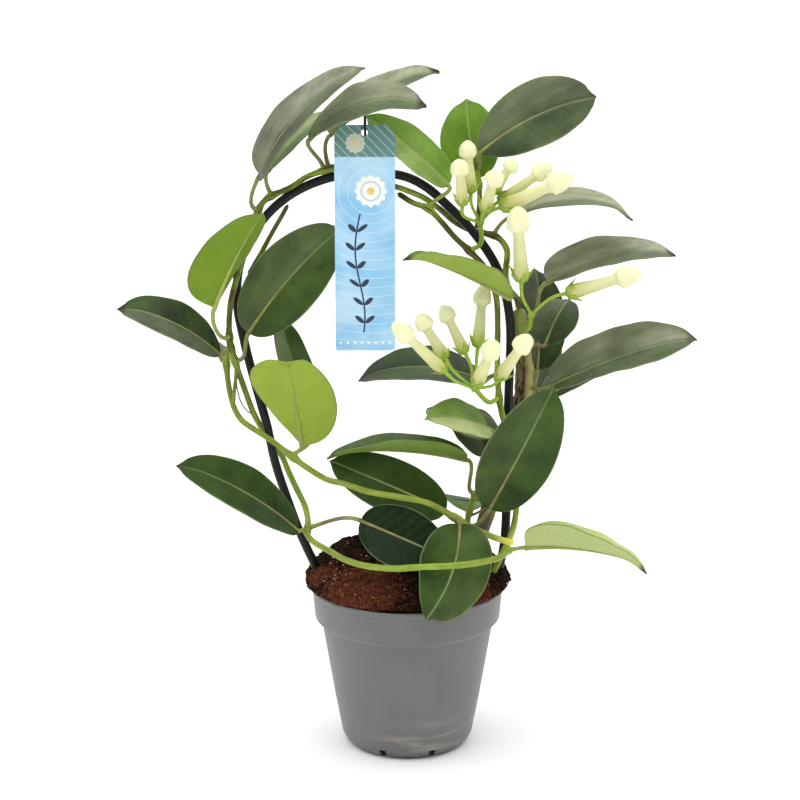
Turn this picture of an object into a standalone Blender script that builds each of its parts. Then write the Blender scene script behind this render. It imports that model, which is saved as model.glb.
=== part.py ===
"""A potted madagascar jasmine: a twining Stephanotis trained on a hoop that stands in a grower's pot."""

import math
import random

import bmesh
import bpy
from mathutils import Vector

MM = 0.001
GAP = 0.3  # mm, the space left between pieces that touch

# The grower's pot, in mm from the ground.
POT_HEIGHT = 103.0
POT_RIM_RADIUS = 60.0
POT_WALL = 1.5
POT_FLOOR = 2.0
POT_SIDES = 36
DRAIN_SLOTS = 8

# The hoop and the stems.
HOOP_RADIUS = 2.75
VINE_RADIUS = 1.6
SHOOT_RADIUS = 1.2
WOODY_RADIUS = 4.4
HOLE_GAP = 0.35
TAPER = {"bark": 0.95, "stem": 0.85}
TUBE_STEP = 9.5

# The leaves and the buds.
BLADE_EDGE = 0.7
PETIOLE_RADIUS = 1.2
DEEP_FOLD = 15
LEAF_STATIONS = (0.0, 0.04, 0.12, 0.24, 0.4, 0.56, 0.72, 0.86, 0.95, 1.0)
ACROSS = (-1.0, -0.55, 0.0, 0.55, 1.0)
BUD_SIDES = 7

# The hoop's centre line as x and z, from the foot of one leg over the top to the other foot.
HOOP_LINE = (
    (-38, 34), (-42, 62), (-49, 92), (-57, 113), (-66, 134), (-74, 157), (-81, 180), (-86, 205),
    (-93, 232), (-99, 258), (-102.5, 280), (-100.5, 303), (-92, 322), (-80, 337), (-65, 348),
    (-46, 355.5), (-26, 358), (-5, 357), (10, 350.5), (24, 338.5), (39, 323), (52, 304), (59, 284),
    (62, 262), (61.5, 230), (61, 195), (61, 160), (60, 130), (56, 108), (50, 85), (45, 60), (41, 34),
)

# Each stem as its radius, colour and the places that it passes, in mm.
STEMS = {
    "woody_stem": (WOODY_RADIUS, "bark", (
        (36, 10, 78), (39, 10, 102), (42.5, 9, 122), (49, 8, 143), (54.5, 8.5, 162), (60, 9, 179),
        (65.5, 8.5, 198), (70, 8, 217), (71.3, 7.5, 235), (70, 6.5, 252), (68.3, 6, 265), (67, 6, 275))),
    "vine_front": (VINE_RADIUS, "stem", (
        (61, -33, 134.5), (55, -49, 135.5), (44, -60, 136), (27, -66.5, 136), (8, -67.5, 135.5),
        (-9, -66, 134), (-25, -61, 134),
        (-37, -53, 135), (-47, -42, 137), (-56, -30, 138), (-61, -18, 139.5), (-61, -8, 144),
        (-63, 1, 151), (-68, 7, 160), (-73, 9.5, 170), (-77.5, 8, 182), (-84, 6, 192),
        (-89.5, 4, 201), (-94.5, 0, 213), (-99.5, -2, 229), (-104, -4, 244), (-107, -6, 259),
        (-106, -7, 280), (-101, -7, 299), (-95, -6.5, 317), (-90, -5, 333), (-84, -3, 343),
        (-69.3, -1.8, 350.0), (-60, -1, 356), (-48, -1, 360.5), (-37, 2, 362.5))),
    "vine_cross": (VINE_RADIUS, "stem", (
        (64, -19, 134.5), (55, -22, 138), (41, -28, 146), (25, -35, 157.5), (12, -39, 166), (-5, -40, 170),
        (-23, -36, 172), (-38, -31, 175.5), (-49, -26, 177), (-61, -18, 182), (-69, -11, 186),
        (-77, -6.5, 191), (-84, -4.7, 196), (-94, -5.5, 203), (-101, -4, 208), (-106, 0, 216),
        (-109, 4, 228), (-110, 5, 240), (-110, 3, 251))),
    "vine_left_tip": (SHOOT_RADIUS, "stem", (
        (-95, 3, 297), (-88, 4, 309), (-81.5, 3, 321), (-76, 2, 330.5), (-71.2, 0.4, 339.2))),
    "vine_right_loop": (VINE_RADIUS, "stem", (
        (66.9, 5.9, 275.9), (66.4, 4.6, 279.5), (64, 0, 284.5), (60, -6, 289.5), (58, -9, 295),
        (58.5, -9, 304), (59, -5, 313), (54, 2, 319), (46, 7, 321), (37, 7, 323), (28, 6, 328),
        (19, 5, 336), (10, 1, 343), (1, -5, 348), (-7, -6.5, 351), (-17, -5.5, 352))),
    "vine_right_pole": (VINE_RADIUS, "stem", (
        (46, -12, 80), (49.5, -11, 103), (56.5, -8.5, 120), (64.5, -6, 138), (67, -5.5, 156), (66, -6, 176),
        (61.5, -7, 197), (57, -7, 213), (55, -6.5, 226), (54, -6, 246), (54, -5.5, 267), (53, -2, 284),
        (47, 0, 300), (37.5, -1.5, 311), (28, -4.5, 320.5), (20, -6, 330), (12, -6, 338), (3, -3, 341),
        (-6, 1, 346))),
    "shoot_middle": (SHOOT_RADIUS, "stem", (
        (31, -4, 88), (33, -4, 112), (35, -3, 132), (38, -1, 148), (41.5, 1, 161))),
    "shoot_top": (SHOOT_RADIUS, "stem", (
        (41.5, 7, 324.0), (42.5, 8, 334), (43, 9, 344), (42, 8.5, 355), (39.5, 7, 364))),
}
STANDING = ("woody_stem", "vine_right_pole", "shoot_middle")

# Each leaf: stem, place of its foot, base and tip of the blade, width, way its upper side faces,
# bow of the midrib, fold of the halves in degrees, where along it is broadest, sideways sweep, colour.
LEAVES = {
    "leaf_top_1": (
        "vine_front", (-88, -4.3, 336), (-87.5, -4, 358), (-28, -12, 421),
        39, (-0.6, -0.4, 0.6), 9, 12, 0.29, 1, "leaf"),
    "leaf_top_2": (
        "vine_front", (-81, -2, 345), (-83, 6, 359), (-42, 43, 391),
        36, (-0.5, -0.2, 0.8), 4, 8, 0.47, 0, "leaf"),
    "leaf_top_3": (
        "vine_front", (-46, -0.6, 360.9), (-46, 8, 380), (15, 24, 417),
        38, (-0.35, -0.25, 0.9), 6, 10, 0.47, 0, "leaf"),
    "leaf_top_4": (
        "vine_front", (-49, -1, 360.2), (-58, -4, 379), (6, -18, 404),
        38, (-0.25, -0.4, 0.9), 10, 8, 0.55, 0, "leaf"),
    "leaf_top_5": (
        "vine_right_pole", (12, -6, 338), (24, -6, 352), (-23, 4, 391),
        29, (0.45, -0.65, 0.5), 3, 8, 0.47, 0, "young"),
    "leaf_top_6": (
        "shoot_top", (40.5, 7.5, 360.5), (43, 3, 370), (108, 0, 403),
        43, (-0.25, -0.85, 0.45), 3, 8, 0.55, -4, "leaf"),
    "leaf_top_7": (
        "shoot_top", (42, 9, 350), (41, 14, 353), (35, 24, 397),
        36, (-0.2, -0.9, 0.2), 3, 8, 0.47, 0, "young"),
    "leaf_left_1": (
        "vine_front", (-107, -6, 260), (-114, -27, 282.5), (-85, -40.5, 340),
        43, (-0.6, 0.76, 0.07), 3, 38, 0.28, 0, "young"),
    "leaf_left_2": (
        "vine_front", (-104, -4, 245), (-95, -12, 264), (-41, -7.5, 325.5),
        43, (-0.1, -0.95, 0.25), 1, 6, 0.47, -3, "leaf"),
    "leaf_left_3": (
        "vine_front", (-106, -5, 253), (-113, -9, 250), (-168, -20, 281.5),
        30, (0.1, -0.55, 0.8), 7, 10, 0.52, 0, "leaf"),
    "leaf_left_4": (
        "vine_cross", (-110, 4, 240), (-113, 9, 243), (-134, 60, 245),
        26, (0.5, 0, 0.8), 3, 8, 0.47, 0, "leaf"),
    "leaf_left_5": (
        "vine_cross", (-71, -10, 187), (-60, 7, 195), (-79, 27, 264),
        24, (0.5, -0.85, 0.15), 3, 20, 0.47, 0, "leaf"),
    "leaf_left_6": (
        "vine_cross", (-69, -11, 186), (-64, -14, 194.5), (-71, -46, 257),
        49, (0.0, 0.83, 0.55), 3, 6, 0.47, 0, "young"),
    "leaf_left_7": (
        "vine_front", (-62, -14, 140), (-67, -15, 141), (-134, -36, 189),
        37, (0.35, -0.5, 0.75), 6, 8, 0.5, 0, "leaf"),
    "leaf_low_1": (
        "shoot_middle", (41, 1, 160), (36, -4, 183), (-46, -16, 190),
        36, (0.0, 0.14, 1.0), 4, 30, 0.47, 0, "leaf"),
    "leaf_low_2": (
        "vine_cross", (30, -33, 154), (23, -19, 155), (-45, -12, 183.5),
        34, (0.1, -0.9, 0.45), 3, 8, 0.47, 0, "leaf"),
    "leaf_low_3": (
        "vine_front", (-61, -12, 140), (-28, -30, 152), (22, -47, 135),
        37, (0.2, -0.95, 0.25), 5, 8, 0.5, 0, "leaf"),
    "leaf_low_4": (
        "vine_cross", (28, -34, 156), (31, -42, 154), (12, -69, 105),
        45, (0.3, -0.85, 0.35), 1, 6, 0.4, -5, "leaf"),
    "leaf_low_5": (
        "shoot_middle", (36.5, -2, 141), (50, -18, 156), (85, -36, 234),
        43, (0.1, -0.95, 0.15), 3, 8, 0.47, 0, "leaf"),
    "leaf_low_6": (
        "vine_front", (61, -33, 134.5), (71, -34, 136.5), (141, -48, 130.5),
        38, (0.0, 0.26, 0.97), 4, 45, 0.3, 0, "young"),
    "leaf_right_1": (
        "woody_stem", (70.7, 8, 226), (87, -4, 229), (168.5, -20, 263),
        42, (0.0, -0.45, 0.89), 4, 22, 0.44, 0, "leaf"),
    "leaf_right_2": (
        "woody_stem", (70, 8, 217), (87, 10, 218), (124, 44, 228),
        34, (-0.2, -0.1, 0.95), 4, 8, 0.47, 0, "leaf"),
    "leaf_right_3": (
        "woody_stem", (68, 6, 268), (83.5, -2, 293), (157.5, 4, 311),
        41, (0.0, -0.25, 0.97), 5, 19, 0.38, 0, "leaf"),
    "leaf_right_4": (
        "vine_right_loop", (50, 3, 320), (63, 6, 332), (132.5, 10, 334),
        38, (0.0, -0.1, 1.0), 8, 8, 0.47, 0, "leaf"),
    "leaf_right_5": (
        "vine_right_loop", (58, -9, 294), (60, -20, 287), (1, -33, 315.5),
        32, (0.05, 0.16, 0.98), 2, 40, 0.47, 0, "young"),
    "leaf_right_6": (
        "woody_stem", (71, 7, 238), (80, 26, 232), (80, 46, 290),
        38, (0.5, -0.8, 0.1), 3, 8, 0.47, 0, "leaf"),
    "leaf_right_7": (
        "woody_stem", (70, 6.5, 252), (84, 10, 252), (98, 30, 275),
        29, (-0.3, -0.8, 0.4), 3, 8, 0.47, 0, "leaf"),
    "leaf_right_8": (
        "woody_stem", (67.5, 8, 208), (78, 32, 208), (91, 74, 242),
        30, (-0.4, -0.7, 0.5), 3, 8, 0.47, 0, "leaf"),
    "leaf_mid_1": (
        "vine_right_pole", (54, -6, 236), (44, -2, 233), (-28, 8, 232),
        40, (0.0, -0.3, 0.95), 8, 8, 0.47, 0, "leaf"),
    "leaf_mid_2": (
        "vine_right_pole", (60.5, -7, 201), (48.5, -14.0, 205.5), (13, -31.5, 217),
        34, (0.0, -0.45, 0.89), 3, 8, 0.4, 0, "young"),
    "leaf_mid_3": (
        "vine_right_pole", (61.5, -7, 197), (51, 0, 195.5), (14, 30, 206.5),
        34, (0.0, -0.1, 1.0), 1.5, 6, 0.47, 0, "leaf"),
    "leaf_mid_4": (
        "shoot_middle", (41, 1, 160), (49, 8, 181), (33, 42, 203),
        30, (0.2, -0.6, 0.7), 3, 8, 0.47, 0, "leaf"),
    "leaf_mid_5": (
        "shoot_middle", (38, -1, 148), (40, 16, 150), (40, 64, 130),
        36, (0.0, 0.3, 0.9), 4, 8, 0.47, 0, "leaf"),
}
# How far the tip of a blade that curls under is drawn back, and over what width, in mm.
CURLED_TIPS = {"leaf_left_6": 8.0}
CURL_WIDTH = 7.0
# Where along it each half of an uneven blade is broadest.
UNEVEN = {"leaf_left_6": (0.4, 0.72)}

# Each flower spray: stem, place of its foot, the hub where the bud stalks meet, and for each bud
# the calyx, the middle of the head and the head's radius.
SPRAYS = {
    "buds_top": ("vine_right_pole", (37, -2, 312), (43, -9, 330), (
        ((37, -13, 349), (35, -14, 374), 5.2), ((32, -19, 343), (30, -26, 365), 5.4),
        ((45, -20, 340), (50, -29, 359), 5.6), ((50, -13, 349), (60, -14, 364), 5.0),
        ((54, -11, 343), (80, -13, 362), 5.2), ((55, -18, 341), (90, -26, 358), 6.4))),
    "buds_right": ("woody_stem", (70, 3, 264), (74, -7, 274), (
        ((67, -20, 298), (64, -31, 337), 6.6), ((95, -16, 289), (131, -26, 302), 6.2))),
    "buds_middle": ("vine_right_pole", (54, -6, 222), (40, -22, 232), (
        ((21, -36, 247), (-5, -51, 275), 5.4), ((22, -24, 252), (9, -28, 274), 5.4),
        ((34, -17, 253), (23, -13, 276), 5.2), ((42, -12, 256), (45, 0, 285), 5.6),
        ((41, -31, 238), (49, -46, 262), 6.0), ((54, -30, 241), (68, -46, 266), 5.8))),
}

# The hang tag: its panel hangs before the hoop, and its head bends back to the clip.
TAG_LEFT = -43.0
TAG_RIGHT = -7.5
TAG_FRONT = -16.0
TAG_FOOT = 254.0
TAG_BEND = 370.0
TAG_TOP = 388.5
TAG_LEAN = 3.0
TAG_CORNER = 5.0
TAG_CARD = 0.6
TAG_HOLE_RADIUS = 2.0
TAG_HOLE_UP = 384.0
CLIP_RADIUS = 0.8
CLIP_LINE = (
    (-25, -4.2, 357), (-25, -2.6, 354.6), (-25, 0.4, 353.8), (-25, 3.6, 355.4), (-25, 4.4, 359),
    (-25, 2.2, 364), (-25, -3, 373), (-25, -7.5, 384), (-25, -10.5, 391), (-25, -13.5, 393.4),
    (-25, -16.8, 391.5), (-25, -17.4, 388.0), (-25, -15.4, 385.1), (-25, -11.5, 384.8),
)

COLOURS = {
    "pot": ((0.16, 0.165, 0.17), 0.55),
    "soil": ((0.035, 0.014, 0.009), 0.95),
    "hoop": ((0.008, 0.012, 0.012), 0.35),
    "bark": ((0.16, 0.115, 0.06), 0.8),
    "stem": ((0.24, 0.38, 0.06), 0.5),
    "leaf": ((0.045, 0.085, 0.04), 0.4),
    "young": ((0.22, 0.42, 0.05), 0.45),
    "bud": ((0.86, 0.86, 0.46), 0.45),
    "card": ((0.26, 0.55, 0.83), 0.4),
    "clip": ((0.01, 0.01, 0.012), 0.4),
}


def clear_scene():
    for item in list(bpy.data.objects):
        bpy.data.objects.remove(item)


def new_object(name, points, faces, colour):
    """A mesh object from points in mm, with a material of its own."""
    mesh = bpy.data.meshes.new(name)
    mesh.from_pydata([tuple(MM * c for c in p) for p in points], [], faces)
    mesh.update()
    rgb, roughness = COLOURS[colour]
    material = bpy.data.materials.new(name)
    material.use_nodes = True
    shader = material.node_tree.nodes["Principled BSDF"]
    shader.inputs["Base Color"].default_value = (*rgb, 1.0)
    shader.inputs["Roughness"].default_value = roughness
    mesh.materials.append(material)
    result = bpy.data.objects.new(name, mesh)
    bpy.context.scene.collection.objects.link(result)
    return result


def as_cutter(item):
    item.hide_render = True
    item.display_type = "WIRE"


def cut_with(item, cutter):
    as_cutter(cutter)
    modifier = item.modifiers.new("cut", "BOOLEAN")
    modifier.operation = "DIFFERENCE"
    modifier.solver = "EXACT"
    modifier.object = cutter


def smooth_line(points, step):
    """The points of a smooth curve through the given ones, about evenly spaced."""
    line = [Vector(p) for p in points]
    line = [2 * line[0] - line[1]] + line + [2 * line[-1] - line[-2]]
    fine = []
    for a, b, c, d in zip(line, line[1:], line[2:], line[3:]):
        for k in range(12):
            t = k / 12
            fine.append(0.5 * (2 * b + (c - a) * t + (2 * a - 5 * b + 4 * c - d) * t**2
                               + (3 * b - a - 3 * c + d) * t**3))
    fine.append(line[-2])
    lengths = [0.0]
    for a, b in zip(fine, fine[1:]):
        lengths.append(lengths[-1] + (b - a).length)
    count = max(2, round(lengths[-1] / step))
    result = []
    at = 0
    for k in range(count + 1):
        wanted = lengths[-1] * k / count
        while at < len(fine) - 2 and lengths[at + 1] < wanted:
            at += 1
        share = (wanted - lengths[at]) / max(1e-9, lengths[at + 1] - lengths[at])
        result.append(fine[at].lerp(fine[at + 1], min(1.0, share)))
    return result


def tangents(line):
    result = []
    for k in range(len(line)):
        result.append((line[min(k + 1, len(line) - 1)] - line[max(k - 1, 0)]).normalized())
    return result


def carried_sides(ways, side):
    """The side direction carried along a line without turning round it."""
    result = []
    for before, way in zip([ways[0]] + ways, ways):
        side = before.rotation_difference(way) @ side
        side = (side - side.dot(way) * way).normalized()
        result.append(side.copy())
    return result


def bridged(rings, closed_ends=True):
    """Faces that join rings of the same count, with both end rings filled."""
    count = len(rings[0])
    points = [p for ring in rings for p in ring]
    faces = []
    for k in range(len(rings) - 1):
        low = k * count
        high = low + count
        for j in range(count):
            n = (j + 1) % count
            faces.append((low + j, low + n, high + n, high + j))
    if closed_ends:
        faces.append(tuple(reversed(range(count))))
        faces.append(tuple(range((len(rings) - 1) * count, len(rings) * count)))
    return points, faces


def tube(points, radii, sides, step):
    """A round bar along a smooth curve; radii are given at its start and its end."""
    line = smooth_line(points, step)
    ways = tangents(line)
    first = ways[0].orthogonal().normalized()
    rings = []
    for k, (centre, way, side) in enumerate(zip(line, ways, carried_sides(ways, first))):
        radius = radii[0] + (radii[1] - radii[0]) * k / (len(line) - 1)
        other = way.cross(side)
        ring = []
        for j in range(sides):
            angle = 2 * math.pi * j / sides
            ring.append(centre + radius * (math.cos(angle) * side + math.sin(angle) * other))
        rings.append(ring)
    return bridged(rings)


def turned(profile, sides):
    """A closed body turned from (radius, height) points that start and end on the upright axis."""
    rows = []
    points = []
    for radius, height in profile:
        row = []
        for j in range(sides if radius > 0 else 1):
            angle = 2 * math.pi * j / sides
            row.append(len(points))
            points.append((radius * math.cos(angle), radius * math.sin(angle), height))
        rows.append(row)
    return points, faces_between(rows, sides)


def faces_between(rows, sides):
    """Faces between rows of point numbers; a row of one point is a pole."""
    faces = []
    for low, high in zip(rows, rows[1:]):
        for j in range(sides):
            n = (j + 1) % sides
            if len(low) == 1:
                faces.append((low[0], high[n], high[j]))
            elif len(high) == 1:
                faces.append((low[j], low[n], high[0]))
            else:
                faces.append((low[j], low[n], high[n], high[j]))
    return faces


def make_pot():
    rim = POT_RIM_RADIUS
    top = POT_HEIGHT
    wall = POT_WALL
    outside = [
        (0, 0), (34.5, 0), (38.8, 1.8), (41.2, 6.0), (53.3, top - 24), (57.4, top - 21),
        (58.9, top - 3.2), (rim, top - 2.4), (rim, top - 0.6), (rim - 0.6, top)]
    inside = [
        (rim - 1.9, top), (58.7 - wall, top - 3.0), (57.4 - wall, top - 20.4), (53.3 - wall, top - 23.4),
        (41.2 - wall, 6.6), (37.6, POT_FLOOR + 1.2), (34.5, POT_FLOOR), (0, POT_FLOOR)]
    points, faces = turned(outside + inside, POT_SIDES)
    pot = new_object("pot", points, faces, "pot")
    cut_with(pot, drain_cutter())


def drain_cutter():
    """Slots through the lower corner of the pot, where water drains."""
    points = []
    faces = []
    for k in range(DRAIN_SLOTS):
        angle = 2 * math.pi * (k + 0.5) / DRAIN_SLOTS
        out = Vector((math.cos(angle), math.sin(angle), 0))
        side = Vector((-out.y, out.x, 0))
        low = len(points)
        for height in (-2, 6.0):
            for along, across in ((33.5, -2.2), (46, -2.2), (46, 2.2), (33.5, 2.2)):
                points.append(out * along + side * across + Vector((0, 0, height)))
        for face in ((3, 2, 1, 0), (4, 5, 6, 7), (0, 1, 5, 4), (1, 2, 6, 5), (2, 3, 7, 6), (3, 0, 4, 7)):
            faces.append(tuple(low + n for n in face))
    return new_object("pot_drain_cutter", points, faces, "pot")


def make_soil():
    """The root ball with its potting mix: it fills the pot and heaps over the rim at the sides."""
    dice = random.Random(5)
    sides = 30
    edge = POT_HEIGHT + 0.6
    rows = []
    points = []

    def add_row(radius_at, height_at, rough):
        row = []
        for j in range(sides):
            angle = 2 * math.pi * j / sides
            radius = radius_at(angle)
            height = height_at(angle, radius)
            lift = rough * dice.uniform(-1, 1)
            row.append(len(points))
            points.append((radius * math.cos(angle), radius * math.sin(angle), height + lift))
        rows.append(row)

    def spill(angle):
        return 56.6 + 6.4 * abs(math.cos(angle)) ** 1.5

    def heap(angle, radius):
        share = radius / 60
        lean = 0.075 * radius * math.sin(angle)
        return 119.5 - 8.5 * share**3 + lean

    points.append((0, 0, POT_FLOOR + GAP))
    rows.append([0])
    inner = (
        (34, POT_FLOOR + GAP), (36.8, 3.9), (39.2, 7.3), (51.2, POT_HEIGHT - 23.6),
        (55.2, POT_HEIGHT - 20.2), (56.5, edge))
    for radius, height in inner:
        add_row(lambda angle, r=radius: r, lambda angle, r, h=height: h, 0)
    add_row(lambda angle: spill(angle) + 0.1, lambda angle, r: edge + 0.1, 0)
    add_row(lambda angle: spill(angle) + 0.8, lambda angle, r: 0.5 * (edge + heap(angle, r)), 0)
    add_row(lambda angle: spill(angle) - 2.5, heap, 0.7)
    for radius in (49, 38, 26, 13):
        add_row(lambda angle, r=radius: r, heap, 1.1)
    rows.append([len(points)])
    points.append((0, 0, 119.5))
    soil = new_object("soil", points, faces_between(rows, sides), "soil")
    for name in STANDING:
        radius, _, line = STEMS[name]
        cut_hole(soil, name, line[:4], radius)
    cut_hole(soil, "hoop_left", [(x, 0, z) for x, z in HOOP_LINE[:6]], HOOP_RADIUS)
    cut_hole(soil, "hoop_right", [(x, 0, z) for x, z in HOOP_LINE[:-7:-1]], HOOP_RADIUS)


def cut_hole(soil, name, line, radius):
    """A plain hole in the soil along a stem's foot, a little wider and deeper than the stem."""
    start = Vector(line[0])
    deeper = start - (Vector(line[1]) - start).normalized() * 0.6
    points, faces = tube([deeper, *line[1:]], (radius + HOLE_GAP,) * 2, 8, 8.0)
    cut_with(soil, new_object(name + "_hole_cutter", points, faces, "soil"))


def make_hoop():
    points, faces = tube([(x, 0, z) for x, z in HOOP_LINE], (HOOP_RADIUS,) * 2, 8, 12.0)
    new_object("hoop", points, faces, "hoop")


def make_stems():
    for name, (radius, colour, line) in STEMS.items():
        sides = 8 if colour == "bark" else 7
        points, faces = tube(line, (radius, radius * TAPER[colour]), sides, TUBE_STEP)
        new_object(name, points, faces, colour)


def seat_on(stem, place, toward):
    """The point a gap off a stem's side nearest to a place, and the way out from the stem there."""
    radius, colour, line = STEMS[stem]
    fine = smooth_line(line, 1.0)
    place = Vector(place)
    at = min(range(len(fine)), key=lambda k: (fine[k] - place).length)
    way = tangents(fine)[at]
    out = Vector(toward) - fine[at]
    if 0 < at < len(fine) - 1:
        out -= out.dot(way) * way
    out.normalize()
    radius *= 1 + (TAPER[colour] - 1) * at / (len(fine) - 1)
    return fine[at] + out * (radius + GAP), out


def half_width(t, width, broadest):
    """Half the width of an oval blade at a share of its length."""
    turn = math.log(0.5) / math.log(broadest)
    return 0.5 * width * math.sin(math.pi * min(0.999, max(0.0, t)) ** turn) ** 0.45


def fold_at(fold, t):
    """How far the halves are folded up, in degrees: a deep fold opens towards the tip."""
    return fold * (1.25 - 0.75 * t) if fold > DEEP_FOLD else fold


def blade_line(base, tip, face, bow, sweep, count=60):
    """The midrib as points, with the blade's own side direction and the way it faces."""
    base = Vector(base)
    chord = Vector(tip) - base
    along = chord.normalized()
    up = Vector(face)
    up = (up - up.dot(along) * along).normalized()
    side = along.cross(up)
    line = []
    for k in range(count + 1):
        t = k / count
        arch = 4 * t * (1 - t)
        line.append(base + chord * t + up * bow * arch + side * sweep * arch)
    return line, side, up


def leaf_rings(name):
    """Rings of ten points each, from the foot of the petiole to the tip of the blade."""
    stem, place, base, tip, width, face, bow, fold, broadest, sweep, _ = LEAVES[name]
    curl = CURLED_TIPS.get(name, 0.0)
    spots = UNEVEN.get(name, (broadest, broadest))
    line, side, up = blade_line(base, tip, face, bow, sweep)
    ways = tangents(line)
    sides = carried_sides(ways, (side - side.dot(ways[0]) * ways[0]).normalized())
    foot, out = seat_on(stem, place, base)
    rings = petiole_rings(foot, out, line[0], ways[0], sides[0])
    for t in LEAF_STATIONS:
        lean = math.radians(fold_at(fold, t))
        at = round(t * (len(line) - 1))
        way = ways[at]
        across = sides[at]
        rise = across.cross(way)
        rib = 0.5 + 0.9 * (1 - t)
        back = curl * max(0.0, (t - 0.8) / 0.2) ** 1.5
        top = []
        under = []
        for u in ACROSS:
            half = max(half_width(t, width, spots[u > 0]), 1.25 if t < 0.5 else 0.5)
            beside = u * half * math.cos(lean)
            place_at = line[at] + across * beside + rise * (abs(u) * half * math.sin(lean))
            place_at -= way * (back * math.exp(-(beside / CURL_WIDTH) ** 2))
            top.append(place_at + rise * (0.5 * BLADE_EDGE))
            under.append(place_at - rise * (0.5 * BLADE_EDGE + (rib if u == 0 else 0.0)))
        rings.append(top + under[::-1])
    return rings


def petiole_rings(foot, out, base, way, side):
    """Round rings of the petiole: it leaves the stem outwards and bends into the midrib."""
    reach = (base - foot).length
    near = foot + out * (0.4 * reach)
    far = base - way * (0.35 * reach)
    line = []
    for k in range(4):
        t = k / 4
        s = 1 - t
        line.append(foot * s**3 + near * (3 * t * s * s) + far * (3 * t * t * s) + base * t**3)
    ways = [out] + tangents(line + [base])[1:4]
    sides = carried_sides([way] + ways[::-1], side)[:0:-1]
    rings = []
    for centre, direction, across in zip(line, ways, sides):
        rise = across.cross(direction)
        ring = []
        for j in range(10):
            angle = math.radians(162 - 36 * j)
            ring.append(centre + PETIOLE_RADIUS * (math.cos(angle) * across + math.sin(angle) * rise))
        rings.append(ring)
    return rings


def leaf_faces(rings):
    """Triangles of a leaf, split alike on its upper and its under side."""
    points = [p for ring in rings for p in ring]
    faces = []
    for k in range(len(rings) - 1):
        low = 10 * k
        high = low + 10
        for j in range(10):
            n = (j + 1) % 10
            corners = (low + j, high + j, high + n, low + n)
            left_half = j in (0, 1, 7, 8, 9)
            rising = left_half == (j < 5)
            if rising:
                faces += [(corners[0], corners[1], corners[2]), (corners[0], corners[2], corners[3])]
            else:
                faces += [(corners[1], corners[2], corners[3]), (corners[1], corners[3], corners[0])]
    last = 10 * (len(rings) - 1)
    for start, turn in ((0, 1), (last, -1)):
        for j in range(4):
            a, b, c, d = start + j, start + j + 1, start + 8 - j, start + 9 - j
            faces += [(a, b, c)[::turn], (a, c, d)[::turn]]
    return points, faces


def make_leaves():
    for name, row in LEAVES.items():
        points, faces = leaf_faces(leaf_rings(name))
        new_object(name, points, faces, row[-1])


def bud_body(calyx, head, head_radius):
    """A waxy bud: star calyx, tube that narrows to a neck, and a bulb at its end."""
    start = Vector(calyx)
    axis = Vector(head) - start
    length = axis.length
    along = axis.normalized()
    side = along.orthogonal().normalized()
    other = along.cross(side)
    tube_radius = 0.58 * head_radius
    profile = (
        (-1.2, 1.2), (0.6, 3.0), (1.4, tube_radius + 0.5), (2.6, tube_radius),
        (0.35 * length, tube_radius * 0.85), (length - 1.15 * head_radius, tube_radius * 0.8),
        (length - 0.6 * head_radius, head_radius * 0.85), (length, head_radius),
        (length + 0.7 * head_radius, head_radius * 0.72), (length + 1.1 * head_radius, 0.8))
    rings = []
    for along_by, radius in profile:
        ring = []
        for j in range(BUD_SIDES):
            angle = 2 * math.pi * j / BUD_SIDES
            out = math.cos(angle) * side + math.sin(angle) * other
            ring.append(start + along * along_by + out * radius)
        rings.append(ring)
    return bridged(rings)


def joined(name, bodies, colour):
    """One body from many that run into one another."""
    base = new_object(name, *bodies[0], colour)
    group = bpy.data.collections.new(name + "_parts")
    bpy.context.scene.collection.children.link(group)
    for k, (points, faces) in enumerate(bodies[1:]):
        item = new_object(f"{name}_{k}", points, faces, colour)
        bpy.context.scene.collection.objects.unlink(item)
        group.objects.link(item)
    modifier = base.modifiers.new("join", "BOOLEAN")
    modifier.operation = "UNION"
    modifier.solver = "EXACT"
    modifier.operand_type = "COLLECTION"
    modifier.collection = group
    bpy.context.view_layer.update()
    graph = bpy.context.evaluated_depsgraph_get()
    mesh = bpy.data.meshes.new_from_object(base.evaluated_get(graph))
    base.modifiers.clear()
    base.data = mesh
    for item in list(group.objects):
        bpy.data.objects.remove(item)
    bpy.data.collections.remove(group)


def make_sprays():
    for name, (stem, place, hub, buds) in SPRAYS.items():
        foot, out = seat_on(stem, place, hub)
        reach = (Vector(hub) - foot).length
        bodies = [tube([foot, foot + out * (0.4 * reach), hub], (1.5, 1.5), 7, 5.0)]
        bodies.append(tube([Vector(hub) - 2.2 * out, hub, Vector(hub) + 2.2 * out], (2.1, 2.1), 7, 2.2))
        for calyx, head, radius in buds:
            start = Vector(calyx)
            up = (Vector(head) - start).normalized()
            span = (start - Vector(hub)).length
            stalk = [hub, start - up * (0.4 * span), start + up]
            bodies.append(tube(stalk, (1.1, 1.1), 6, 7.0))
            bodies.append(bud_body(calyx, head, radius))
        joined(name, bodies, "bud")


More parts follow.
